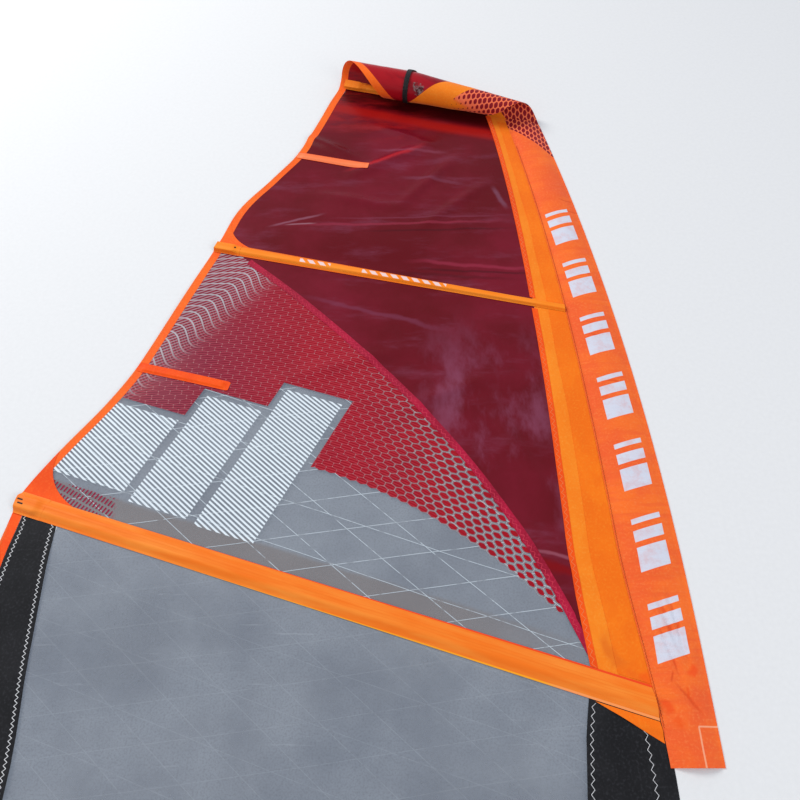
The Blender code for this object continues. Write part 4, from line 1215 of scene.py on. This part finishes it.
def make_stage():
    scene = bpy.context.scene
    scene.view_settings.view_transform = "Standard"
    camera = bpy.data.objects.new("camera", bpy.data.cameras.new("camera"))
    camera.location = EYE
    camera.rotation_euler = (TILT, 0, 0)
    camera.data.lens = LENS
    camera.data.sensor_width = SENSOR
    scene.collection.objects.link(camera)
    scene.camera = camera
    world = bpy.data.worlds.new("world")
    world.use_nodes = True
    world.node_tree.nodes["Background"].inputs[0].default_value = SKY
    world.node_tree.nodes["Background"].inputs[1].default_value = SKY_POWER
    scene.world = world
    for light in LIGHTS:
        add_light(*light)
    body = bmesh.new()
    bmesh.ops.create_grid(body, x_segments=8, y_segments=8, size=9)
    bmesh.ops.translate(body, verts=body.verts, vec=(-0.6, 2.0, -0.0004))
    paint = Paint("floor", 0.9)
    paint.ground(paint.place().noise(90.0), "e6e6e4", "eeeeec")
    finish_mesh("floor", body, paint.finished(), smooth=False)


# Flat panels, patches, tapes and seams


def crossings(loop, y):
    """Where a loop crosses a height, as x values."""
    found = []
    for a, b in zip(loop, loop[1:] + loop[:1]):
        if (a[1] - y) * (b[1] - y) <= 0 and a[1] != b[1]:
            found.append(a[0] + (b[0] - a[0]) * (y - a[1]) / (b[1] - a[1]))
    return found


def tape_tail(loop, seam):
    """The diagonal tape's loop carried on down to the edge of the luff seam tape."""
    low = min(point[1] for point in loop)
    foot = sorted(range(len(loop)), key=lambda i: loop[i][1])[:2]
    middle = (loop[foot[0]][0] + loop[foot[1]][0]) / 2
    slant = (diagonal(low + 0.05) - diagonal(low)) / 0.05
    left, right = [], []
    for i in range(1, TAIL_STEPS + 1):
        y = low - TAIL_REACH * i / TAIL_STEPS
        centre = middle + (y - low) * slant
        wall = min(crossings(seam, y)) - FIT_GAP
        if centre - TAIL_HALF < wall:
            left.append((centre - TAIL_HALF, y))
            right.append((min(centre + TAIL_HALF, wall), y))
    one, two = sorted(foot)
    if two - one > 1:
        one, two = two, one
    tail = left + right[::-1]
    if loop[one][0] > loop[two][0]:
        tail.reverse()
    return loop[:two] + tail + loop[two:] if two else loop + tail


def make_flats():
    """Sheets for the flat solids: node, sheet name, paint, slot, lap at the seams, and how it is cut."""
    film_cut = {"thick": 0.0003}
    clear_cut = {"thick": 0.0, "base": FILM_THICK / 2}
    tape_cut = {"step": 0.009}
    seam_cut = {"step": 0.009, "base": LAYER}
    for node, name, paint, slot, lap, cut in (
        ("film_panel_upper", "film_upper_sheet", "film", "film_red", SEAM_LAP, film_cut),
        ("film_panel_middle", "film_middle_sheet", "film", "film_red", SEAM_LAP, film_cut),
        ("ply_panel_leech", "ply_sheet", "ply", "ply", SEAM_LAP, clear_cut),
        ("window_panel", "window_sheet", "window", "window", WINDOW_LAP, clear_cut),
        ("luff_panel_upper", "luff_panel_upper_sheet", "amber", "amber", SEAM_LAP, {}),
        ("luff_panel_lower", "luff_panel_lower_sheet", "amber", "amber", SEAM_LAP, {}),
        ("boom_luff_patch", "boom_patch_sheet", "black", "black", SEAM_LAP, {}),
        ("tack_patch", "tack_patch_sheet", "black", "black", SEAM_LAP, {}),
        ("clew_patch", "clew_patch_sheet", "black", "black", 0.0, {}),
        ("foot_panel", "foot_panel_sheet", "coral", "coral", SEAM_LAP, {}),
        ("leech_tape_upper", "leech_tape_upper_sheet", "tape", "amber", 0.0, tape_cut),
        ("leech_tape_lower", "leech_tape_lower_sheet", "edge", "amber", 0.0, tape_cut),
        ("foot_tape", "foot_tape_sheet", "edge", "amber", 0.0, tape_cut),
        ("luff_seam_tape_lower", "luff_seam_lower", "seam", "red_orange", 0.0, seam_cut),
        ("luff_seam_tape_upper", "luff_seam_upper", "seam", "red_orange", 0.0, seam_cut),
        ("diagonal_seam_tape", "diagonal_seam", "crimson", "crimson", 0.0, seam_cut),
    ):
        loops = [grown(loop, lap) for loop in outline(node)]
        if node == "diagonal_seam_tape":
            loops = [tape_tail(loops[0], outline("luff_seam_tape_lower")[0])]
        rests_on = ["film_middle_sheet"] if cut is seam_cut else []
        lay_sheet(name, loops, paint, slot, node, rests_on=rests_on, **cut)


# Sleeve


# Room for the puckers in its loft, their height and mean, and how far from the ends they fade
PUCKER_ROOM = 0.004
PUCKER_RISE = 0.0028
PUCKER_MEAN = 0.001
PUCKER_FADE = 0.1
SLEEVE_COLUMNS = 30
ROLL_MARGIN = 0.0002
BACK_STEP = 0.02


def sleeve_height(share, x, y, low, high):
    """Loft of the sleeve's face across its width, with soft puckers along it."""
    inner = (share - SLEEVE_HEM) / (1 - 2 * SLEEVE_HEM)
    if not 0 < inner < 1:
        return 0.0
    crown = math.sin(math.pi * inner) ** 0.8
    half = PUCKER_FADE / 2
    ends = eased((y - low + half) / PUCKER_FADE) * eased((high - y + half) / PUCKER_FADE)
    pucker = ripple(x * 5, y * 16, 3.1) + 0.5 * ripple(x * 14, y * 30, 8.8)
    loft = (SLEEVE_LOFT - PUCKER_ROOM) * crown + (PUCKER_RISE * pucker + PUCKER_MEAN) * crown * ends
    return min(loft + crease_height(x, y, SLEEVE_CREASES, FACE_EASE) * crown * ends, SLEEVE_LOFT)


def on_sleeve(y, share):
    """The place across the sleeve's face at a height, from its rear to the luff."""
    rear = sleeve_rear(y) - SLEEVE_FLANGE
    return rear + (luff_front(y) - rear) * share


def make_sleeve():
    for name, low, high in (
        ("sleeve_upper", CUTOUT_HIGH, meet(luff_front, roll_line)),
        ("sleeve_lower", SLEEVE_FOOT, CUTOUT_LOW),
    ):

        def place(up, share):
            y = low + (high - low) * up
            if name == "sleeve_upper":
                top = roll_line(on_sleeve(y, share)) - ROLL_MARGIN
                y = low + (top - low) * up
            x = on_sleeve(y, share)
            return Vector((x, y, CLOTH_BASE + sleeve_height(share, x, y, low, high))), (x, y)

        rows, face = int((high - low) / SLEEVE_ROW), name + "_face"
        net_sheet(name + "_cloth", rows, SLEEVE_COLUMNS, place, "sleeve", FACE_THICK, "coral", face, "laid")
    for node in ("sleeve_upper_back", "sleeve_lower_back"):
        lay_sheet(node + "_sheet", outline(node), "coral", "coral", node, step=BACK_STEP)


# Roll


def roll_radius(along):
    return ROLL_RADIUS - ROLL_TAPER * max(along, 0.0)


def roll_at(turn, along, depth=0.0):
    """A point of the wound sheet: turn in degrees, place along the roll, and depth from its outer face."""
    angle = math.radians(turn)
    radius = roll_radius(along) - ROLL_PITCH * turn / 360 - depth
    place = ROLL_POINT + ROLL_ALONG * along + ROLL_AHEAD * (radius * math.sin(angle))
    return place + Vector((0, 0, roll_radius(along) - radius * math.cos(angle)))


def along_at_line(edge):
    y = meet(edge, roll_line)
    return (Vector((edge(y), y, 0)) - ROLL_POINT).dot(ROLL_ALONG)


def drifted(edge, drift, turn):
    share = turn / ROLL_SPAN
    return along_at_line(edge) - drift[0] * share - drift[1] * share * share


def film_along(turn):
    return drifted(film_edge, FILM_DRIFT, turn)


def front_along(turn):
    return drifted(luff_front, FRONT_DRIFT, turn)


def rear_along(turn):
    first = along_at_line(film_edge)
    share = (along_at_line(sleeve_rear) - first) / (along_at_line(luff_front) - first)
    return film_along(turn) + share * (front_along(turn) - film_along(turn))


def leech_turn(turn):
    return LEECH_DRIFT * eased((turn - LEECH_TURNS[0]) / LEECH_TURNS[1])


def leech_in_along(turn):
    return along_at_line(leech_inner) + leech_turn(turn)


def leech_out_along(turn):
    return along_at_line(leech_outer) + leech_turn(turn) * LEECH_NARROWED


def unrolled(turn, along):
    """The place of a point of the roll on the flat sail."""
    radius = roll_radius(along) - ROLL_PITCH * turn / 720
    place = ROLL_POINT + ROLL_ALONG * along + ROLL_AHEAD * (radius * math.radians(turn))
    return place.x, place.y


# Dents of the rolled cloth: mean depth, depth of the broad and the small ones, and where they begin
DENT_MEAN = 0.0016
DENT_BROAD = 0.0016
DENT_SMALL = 0.0006
DENT_TURN = 40


def crumple(turn, along):
    """How far the rolled cloth dents inwards."""
    around = roll_radius(along) * math.radians(turn)
    dent = ripple(along * 9, around * 14, 4.4)
    fine = ripple(along * 30, around * 22, 7.1)
    return (DENT_MEAN + DENT_BROAD * dent + DENT_SMALL * fine) * eased(turn / DENT_TURN)


def make_roll():
    for name, node, left, right, last, paint, slot in (
        ("roll_film_sheet", "roll_film", leech_in_along, film_along, 315, "film", "film_red"),
        ("roll_leech_sheet", "roll_leech_tape", leech_out_along, leech_in_along, 330, "tape", "amber"),
        ("roll_luff_sheet", "roll_luff_panel", film_along, rear_along, 405, "amber", "amber"),
        ("roll_sleeve_sheet", "roll_sleeve", rear_along, front_along, 465, "sleeve", "coral"),
    ):

        def place(round_share, share):
            turn = last * round_share
            start, end = left(turn), right(turn)
            along = start + (end - start) * share
            return roll_at(turn, along, crumple(turn, along)), unrolled(turn, along)

        columns = max(4, round((right(0) - left(0)) / GRID))
        net_sheet(name, last // 4, columns, place, paint, -FACE_THICK, slot, node, "folded")


# Battens, pockets, end caps and corner cloths

# From a strip's edge to its stitching, from the leech to a strip, and how cloth bulges and puckers
STITCH_INSET = 0.0015
LEECH_CLEAR = 0.001
POCKET_BULGE = 0.0003
POCKET_PUCKER = 0.0006
POCKET_COLUMNS = 24
# Mini pockets: length of their rounded ends and their width there, core and foot, and their ends' slope
MINI_ROUND = 0.009
MINI_SQUARE = 0.70
MINI_CORE = 0.0065
MINI_FOOT = 0.0125
MINI_SLOPE = (0.008, 0.016)
MINI_NET = (44, 14)
# End caps: lap beside the pocket, widest foot, where the height falls to the batten's, pucker and lift
CAP_LAP = 0.0008
CAP_FOOT = 0.0275
CAP_FALL = (0.056, 0.022)
CAP_PUCKER = 0.0005
CAP_LIFT = 0.0013
CAP_NET = (24, 30)
# Corner cloths: lap under the pocket, lap at the leech, how straight the hollow is, and step
CORNER_UNDER = 0.010
CORNER_LAP = 0.0008
CORNER_HOLLOW = 0.16
CORNER_STEP = 0.009


class Frame:
    """Along a batten towards the luff, across it up the sail, and away from the cloth."""

    def __init__(self, start, along, across, away):
        self.start, self.along, self.across, self.away = start, along, across, away

    def at(self, q, c, h):
        return self.start + self.along * q + self.across * c + self.away * h

    def rippled(self, q, c, h):
        place = self.at(q, c, h)
        place.z += lift(place.x, place.y)
        return place


def flat_frame(edge, height, rise, setback=0.0):
    y = meet(edge, batten_line(height, rise))
    along = Vector((1, -rise, 0)).normalized()
    start = Vector((edge(y), y, 0)) + along * setback
    return Frame(start, along, Vector((-along.y, along.x, 0)), Vector((0, 0, 1)))


def foot_edge(y):
    """The outer edge of the foot's round."""
    drop = (CLEW_HEIGHT - y) / (CLEW_HEIGHT - LEECH_TAPE_WIDTH)
    centre = film_edge(0.0)
    reach = CLEW_REACH + centre - LEECH_TAPE_WIDTH
    share = max(1 - min(drop, 1.0) ** FOOT_ROUND, 0.0)
    return centre - reach * share ** (1 / FOOT_ROUND) - LEECH_TAPE_WIDTH


def batten_edge(number):
    """The sail's edge at a batten's rear end, and how far the batten stays back from it."""
    return (foot_edge, FOOT_SETBACK) if number == 1 else (leech_outer, 0.0)


def batten_frame(number):
    edge, setback = batten_edge(number)
    return flat_frame(edge, *BATTEN_LINES[number], setback)


def head_frame():
    """The head batten's frame inside the roll, and its pocket's length."""
    angle = math.radians(HEAD_TURN)
    away = Vector((0, 0, 1)) * math.cos(angle) - ROLL_AHEAD * math.sin(angle)
    half = max(POCKET_HALVES[4])
    facet = ROLL_RADIUS * (1 - math.cos(math.radians(7.5)))
    sag = half * half / (2 * roll_radius(HEAD_END)) + facet + 3 * FIT_GAP
    start = roll_at(HEAD_TURN, leech_in_along(HEAD_TURN) - HEAD_OVERHANG, FILM_THICK) + away * sag
    end = roll_at(HEAD_TURN, HEAD_END, FILM_THICK) + away * sag
    along = (end - start).normalized()
    across = away.cross(along).normalized()
    return Frame(start, along, across, along.cross(across)), (end - start).length


def tent(c, core, foot):
    """Height share of cloth drawn over a rod: full over its core, nothing from its foot outwards."""
    return eased((foot - abs(c)) / (foot - core))


def pocket_rear(y):
    return sleeve_rear(y) - SLEEVE_FLANGE - POCKET_SET


def make_pocket(number, frame, end_at, base):
    """A batten pocket's strip, drawn over its batten, with small puckers beside the stitching."""
    wide, narrow = POCKET_HALVES[number]

    def place(share, side):
        half = wide + (narrow - wide) * share
        c = half * (2 * side - 1)
        q = POCKET_START + (end_at(c) - POCKET_START) * share
        beside_rod = 4 * (abs(c) / half) * (1 - abs(c) / half)
        rise = BATTEN_CROWN * tent(c, BATTEN_CORE, half - STITCH_INSET) + POCKET_BULGE * beside_rod
        rise += POCKET_PUCKER * ripple(q * 22, c * 60, number * 3.3) * beside_rod
        return frame.at(q, c, base + FACE_THICK + max(rise, 0.0)), (q, c)

    rows = max(10, int((end_at(0.0) - POCKET_START) / POCKET_ROW))
    name, paint = f"batten_pocket_{number}", POCKET_PAINTS[number]
    net_sheet(name + "_cloth", rows, POCKET_COLUMNS, place, paint, FACE_THICK, "amber", name, "stretched")


def make_pockets():
    for number, (height, rise) in BATTEN_LINES.items():
        frame = batten_frame(number)

        def end_at(c):
            y = meet(pocket_rear, batten_line(height, rise, c))
            return (Vector((pocket_rear(y), y, 0)) - frame.start).dot(frame.along)

        make_pocket(number, frame, end_at, LAYER)
    frame, length = head_frame()
    make_pocket(4, frame, lambda c: length, 0.0)


def make_mini_pockets():
    for number, (height, rise, length) in MINI_LINES.items():
        frame = flat_frame(leech_outer, height, rise)

        def place(share, side):
            q = POCKET_SET + (length - POCKET_SET) * (0.5 - 0.5 * math.cos(math.pi * share))
            near = min(q - POCKET_SET, length - q)
            rounded = min(near / MINI_ROUND, 1.0)
            half = MINI_HALF * (MINI_SQUARE + (1 - MINI_SQUARE) * math.sqrt(rounded * (2 - rounded)))
            c = half * (2 * side - 1)
            crown = tent(c, MINI_CORE, MINI_FOOT) * eased((near - MINI_SLOPE[0]) / MINI_SLOPE[1])
            return frame.rippled(q, c, LAYER + FACE_THICK + MINI_CROWN * crown), (q, c)

        name, paint = f"mini_pocket_{number}", MINI_PAINTS[number]
        net_sheet(name + "_cloth", *MINI_NET, place, paint, FACE_THICK, "coral", name, "stretched")


def leech_setback(frame, number, c):
    """How far along a batten the sail's edge lies, at an offset across the batten."""
    edge, setback = batten_edge(number)
    q = 0.0
    for _ in range(8):
        place = frame.at(q, c, 0)
        q += (edge(place.y) + setback - place.x) / frame.along.x
    return q + LEECH_CLEAR


def make_end_cap(number, frame, base, paint):
    """Cloth over a tensioner and the start of its pocket, open at the leech where the screw is reached."""
    half = POCKET_HALVES[number][0] + CAP_LAP
    foot = min(half - STITCH_INSET, CAP_FOOT)
    rippled = number in BATTEN_LINES

    def place(share, side):
        c = half * (2 * side - 1)
        start = leech_setback(frame, number, c) if rippled else LEECH_CLEAR
        q = start + (CAP_REACH - start) * share
        ended = eased((q - CAP_FALL[0]) / CAP_FALL[1])
        over = HOUSING_TOP + (BATTEN_CROWN - HOUSING_TOP) * ended
        core = HOUSING_CORE + (BATTEN_CORE - HOUSING_CORE) * ended
        pucker = CAP_PUCKER * ripple(q * 40, c * 60, 5.5 + number)
        height = base + CAP_LIFT + over * tent(c, core, foot) + max(pucker, 0.0)
        return (frame.rippled if rippled else frame.at)(q, c, height), (q, c)

    net_sheet(f"end_cap_{number}", *CAP_NET, place, paint, CLOTH_THICK, "red_orange", None, "stretched")


def corner_loop(number, frame, reach, up):
    """Outline of the corner cloth: up the leech, then a hollow curve back to the batten."""
    side = POCKET_HALVES[number][0] - CORNER_UNDER
    first = frame.at(leech_setback(frame, number, side), side, 0)
    last = frame.at(reach, side, 0)
    heights = [first.y + up * k / 12 for k in range(13)]
    loop = [(leech_outer(y) + CORNER_LAP, y) for y in heights]
    high = Vector((*loop[-1], 0))
    bend = first + (high + last - 2 * first) * CORNER_HOLLOW
    for k in range(1, 17):
        t = k / 16
        place = high * (1 - t) ** 2 + bend * 2 * t * (1 - t) + last * t * t
        loop.append((place.x, place.y))
    return loop


def make_ends():
    for number in BATTEN_LINES:
        frame = batten_frame(number)
        make_end_cap(number, frame, LAYER, POCKET_PAINTS[number])
        if number in CORNERS:
            reach, up, paint = CORNERS[number]
            loop = corner_loop(number, frame, reach, up)
            lay_sheet(f"corner_cloth_{number}", [loop], paint, "red_orange", base=LAYER, step=CORNER_STEP)
    make_end_cap(4, head_frame()[0], 0.0, "amber")


# Second layers of the luff panel

# How uneven the lining's edge is, and its gaps beside the pockets and below the roll
LINING_WAVE = 0.0035
LINING_GAP = 0.003
LINING_TOP = 0.022
# The wing's gap below the band, how far from its edge it is folded up, how high, and step
WING_GAP = 0.0015
WING_FOLD = 0.035
WING_RISE = 0.0045
WING_STEP = 0.007


def lining_edge(y):
    """The rear edge of the luff panel's second layer, a little uneven."""
    return sleeve_rear(y) - through(PANEL_WIDTHS, y) * LINING_SHARE + LINING_WAVE * ripple(2.0, y * 6, 0.5)


def make_linings():
    """Second layer of the luff panel, in lengths between the battens and up to the roll."""
    gap_2, gap_3 = POCKET_HALVES[2][1] + LINING_GAP, POCKET_HALVES[3][1] + LINING_GAP
    for name, under, over in (
        ("lining_lower", batten_line(*BATTEN_LINES[2], gap_2), batten_line(*BATTEN_LINES[3], -gap_3)),
        ("lining_upper", batten_line(*BATTEN_LINES[3], gap_3), lambda x: roll_line(x) - LINING_TOP),
    ):
        rear = np.linspace(meet(lining_edge, under), meet(lining_edge, over), 90)
        front = np.linspace(meet(pocket_rear, over), meet(pocket_rear, under), 90)
        loop = [(lining_edge(y), y) for y in rear] + [(pocket_rear(y), y) for y in front]
        loop = [(float(x), float(y)) for x, y in loop]
        lay_sheet(name, [loop], "deep", "amber", base=LAYER)


def make_wing():
    """The loose flap of cloth between the long batten's lower edge and the sleeve, folded up a little."""
    under = batten_line(*BATTEN_LINES[2], -(POCKET_HALVES[2][1] + WING_GAP))

    def crest(x, y):
        share = min(max((under(x) - y) / WING_FOLD, 0.0), 1.0)
        return lift(x, y) + WING_RISE * math.sin(math.pi * share) ** 2 * eased((x + WING_REACH) / 0.05)

    top = meet(pocket_rear, under)
    loop = [(x, under(x)) for x in np.linspace(-WING_REACH, pocket_rear(top), 12)]
    loop += [(pocket_rear(y), y) for y in np.linspace(top, WING_LOW, 8)[1:]]
    loop = [(float(x), float(y)) for x, y in loop]
    lay_sheet("band_wing", [loop], "deep", "amber", base=LAYER, step=WING_STEP, height=crest)


# Stitches


# Width and pitch of the stitch round a patch
RIM_STITCH = (0.007, 0.012)


def make_stitches():
    top = LAYER + CLOTH_THICK + 0.0002
    roll_foot = meet(film_edge, roll_line) - 0.03
    for node, inset, paint in (
        ("clew_patch", 0.012, "thread_white"),
        ("tack_patch", 0.010, "thread_white"),
        ("foot_panel", 0.010, "thread_pale"),
    ):
        loop = resampled(grown(outline(node)[0], -inset), 0.02)
        zigzag(node + "_stitch", loop + loop[:1], paint, *RIM_STITCH, ON_PATCH)
    luff = ("thread_orange", 0.0085, 0.0185, top)
    dark = ("thread_dark", 0.002, 0.007, top + 0.0007)
    pale = ("thread_pale", 0.002, 0.006, ON_PATCH)
    white = ("thread_white", 0.008, 0.0195, ON_PATCH)
    # Name, edge, set off from it, height from and to, and the thread, width, pitch and base
    for name, edge, off, low, high, kind in (
        ("luff_stitch_upper", film_edge, 0.0, 2.90, roll_foot, luff),
        ("luff_stitch_lower", film_edge, 0.0, 1.828, 2.84, luff),
        ("diagonal_stitch", diagonal, -0.003, 1.905, 3.02, ("thread_red", 0.0080, 0.0165, top)),
        ("sleeve_stitch_upper", sleeve_rear, -0.004, 1.70, 3.60, dark),
        ("sleeve_stitch_lower", sleeve_rear, -0.004, 0.13, 1.14, dark),
        ("leech_stitch_upper", leech_outer, 0.004, 3.24, 3.97, pale),
        ("leech_stitch_middle", leech_outer, 0.004, 2.38, 3.08, pale),
        ("leech_stitch_lower", leech_outer, 0.004, 1.47, 2.18, pale),
        ("patch_stitch_rear", boom_patch_edge, 0.012, 1.06, 1.752, white),
        ("patch_stitch_front", sleeve_rear, -0.048, 1.04, 1.695, white),
    ):
        count = max(2, round((high - low) / 0.03))
        heights = [low + (high - low) * i / count for i in range(count + 1)]
        zigzag(name, [(edge(y) + off, y) for y in heights], *kind)


# Strap, webbing and fairing


def make_strap():
    first, last = STRAP_TURNS

    def place(share, side):
        turn = first + (last - first) * share
        lean = STRAP_LEAN * (1 - eased(share / STRAP_LEANING))
        along = STRAP_ALONG + lean + STRAP_WIDTH * (side - 0.5)
        bow = STRAP_BOW * (1 - (2 * side - 1) ** 2)
        flat = (roll_radius(along) * math.radians(turn), along)
        return roll_at(turn, along, -STRAP_CLEAR - STRAP_THICK - bow), flat

    name = "roll_strap"
    net_sheet(name + "_webbing", 90, 4, place, "webbing", -STRAP_THICK, "black", name, "stretched")


def make_webbings():
    for node in ("tack_webbing", "head_webbing"):
        corners = [vert.co.copy() for vert in frame["nodes"][node].data.vertices]
        centre = sum(corners, Vector()) / len(corners)
        spots = np.array([corner - centre for corner in corners])
        _, _, turn = np.linalg.svd(spots, full_matrices=False)
        axes = [Vector(axis) for axis in turn]
        reach = [max(abs(spot @ np.array(axis)) for spot in spots) for axis in axes]
        along, across = axes[0] * reach[0], axes[1] * reach[1]
        up = axes[2] * reach[2]
        if up.z < 0:
            up, across = -up, -across

        def place(share, side):
            s, t = 2 * share - 1, 2 * side - 1
            edge = 1 - 0.35 * abs(t) ** 6
            return centre + along * s + across * t + up * edge, (s * reach[0], t * reach[1])

        net_sheet(node + "_strip", 24, 8, place, "webbing", reach[2] * 1.6, "black", node, "laid")


def make_fairing():
    def base_place(up, share):
        y = FAIRING_LOW + (FAIRING_HIGH - FAIRING_LOW) * up
        rear = sleeve_rear(y) + FIT_GAP
        x = rear + (FAIRING_FRONT - rear) * share
        edge = min(up, 1 - up, share, 1 - share) * 13
        return Vector((x, y, FOAM - PAD_ROUND * (1 - eased(edge)))), (x, y)

    base = shell("fairing_base_pad", *netted(26, 26, base_place), "foam", FOAM * 0.6)
    settle(base, "foam", "fairing_base")
    rear = sleeve_rear(FAIRING_LOW) + FIT_GAP + FLAP_MARGIN
    front = FAIRING_FRONT - FLAP_MARGIN
    low, high = FAIRING_LOW + FLAP_MARGIN, FAIRING_HIGH - FLAP_MARGIN
    floor = FOAM + FIT_GAP + FOAM * 0.5
    middle, half = (front + rear) / 2, (front - rear) / 2 + FOAM

    def flap_place(up, share):
        y = low + (high - low) * up
        angle = math.pi * share
        x = middle - half * math.cos(angle)
        arch = math.sin(angle) ** 0.8 if 0 < share < 1 else 0.0
        quilt = QUILT_DEPTH * math.sin(math.pi * (y - low) / QUILT_PITCH) ** 2 * math.sin(angle)
        z = floor + (FLAP_LOFT - floor) * arch - quilt
        return Vector((min(x, FAIRING_FRONT), y, z)), y

    grid, heights = netted(30, 56, flap_place)
    flats = []
    for row, ys in zip(grid, heights):
        walked = np.cumsum([0.0] + [(b - a).length for a, b in zip(row, row[1:])])
        flats.append([(float(reach), y) for reach, y in zip(walked, ys)])
    flap = shell("fairing_flap_pad", grid, flats, "foam", FOAM * 0.8)
    settle(flap, "foam", "fairing_flap", body="fairing_flap")


def paint_nodes():
    """Gives the CAD nodes that stay their materials."""
    kinds = {
        "batten_": "carbon",
        "mini_batten": "carbon",
        "tensioner_housing": "plastic",
        "tensioner_screw": "steel",
        "clew_eyelet": "steel",
        "pulley_frame": "steel",
        "pulley_axle": "steel",
        "pulley_sheave": "plastic",
        "head_cap": "plastic",
    }
    for name, node in frame["nodes"].items():
        for start, kind in kinds.items():
            if name.startswith(start) and "pocket" not in name:
                for slot in node.material_slots:
                    slot.material = LOOK[kind]


def main():
    make_stage()
    LOOK.update(
        coral=cloth("coral_cloth", "ff7426", "f9662a", "ff8a48", turn=0.1),
        sleeve=cloth("sleeve_cloth", "ff7426", "f4602a", "ff8a48", 0.6, 0.1, sleeve_print_and_shade, *DRAWN),
        # The amber cloths carry painted shade on the luff panel's foot
        amber=cloth("amber_cloth", "ff8c1c", "fb8014", "ffa038", prints_and_shade=panel_painted_shade, **CRUMPLED),
        deep=cloth("deep_amber_cloth", "ff7c0c", "f87008", "ff9024", prints_and_shade=panel_painted_shade, **CRUMPLED),
        tape=cloth("leech_tape_cloth", "ff6c14", "fa5e12", "ff8636"),
        edge=cloth("leech_edge_cloth", "ff5804", "f44a04", "ff7024"),
        seam=cloth("seam_tape_cloth", "ff5a0a", "f04c08", "ff7428"),
        crimson=cloth("crimson_tape_cloth", "b8123a", "940e2c", "d83c5c"),
        black=cloth("black_cloth", "202022", "161618", "38383c", 0.7),
        film=film("red_film"),
        ply=ply("ply_film"),
        window=window("window_film"),
        band=pocket_cloth("band_cloth", "fa7818", "ff9232", "ffaa1c", "f4481a", 0.032, band_shade_and_marks),
        pocket=pocket_cloth("pocket_cloth", "ff8410", "ff9428", "f47010", "f47010", 0.016, pocket_print),
        mini=pocket_cloth("mini_pocket_cloth", "ff7a44", "ff8c58", "f26030", "f26030", 0.015),
        thread_orange=thread("orange_thread", "ff9a5c", "f07038"),
        thread_red=thread("red_thread", "e8485c", "c02c44"),
        thread_dark=thread("brown_thread", "c8581c", "a04010"),
        thread_pale=thread("pale_thread", "ffa050", "f08038"),
        thread_white=thread("white_thread", "f0f0ee", "c8c8c8"),
        webbing=webbing("black_webbing"),
        foam=foam_cloth("neoprene"),
        carbon=carbon("carbon_rod"),
        plastic=plastic("black_plastic"),
        steel=steel("brushed_steel"),
    )
    make_flats()
    make_sleeve()
    make_roll()
    make_pockets()
    make_mini_pockets()
    make_ends()
    make_linings()
    make_wing()
    make_stitches()
    make_strap()
    make_webbings()
    make_fairing()
    paint_nodes()


main()
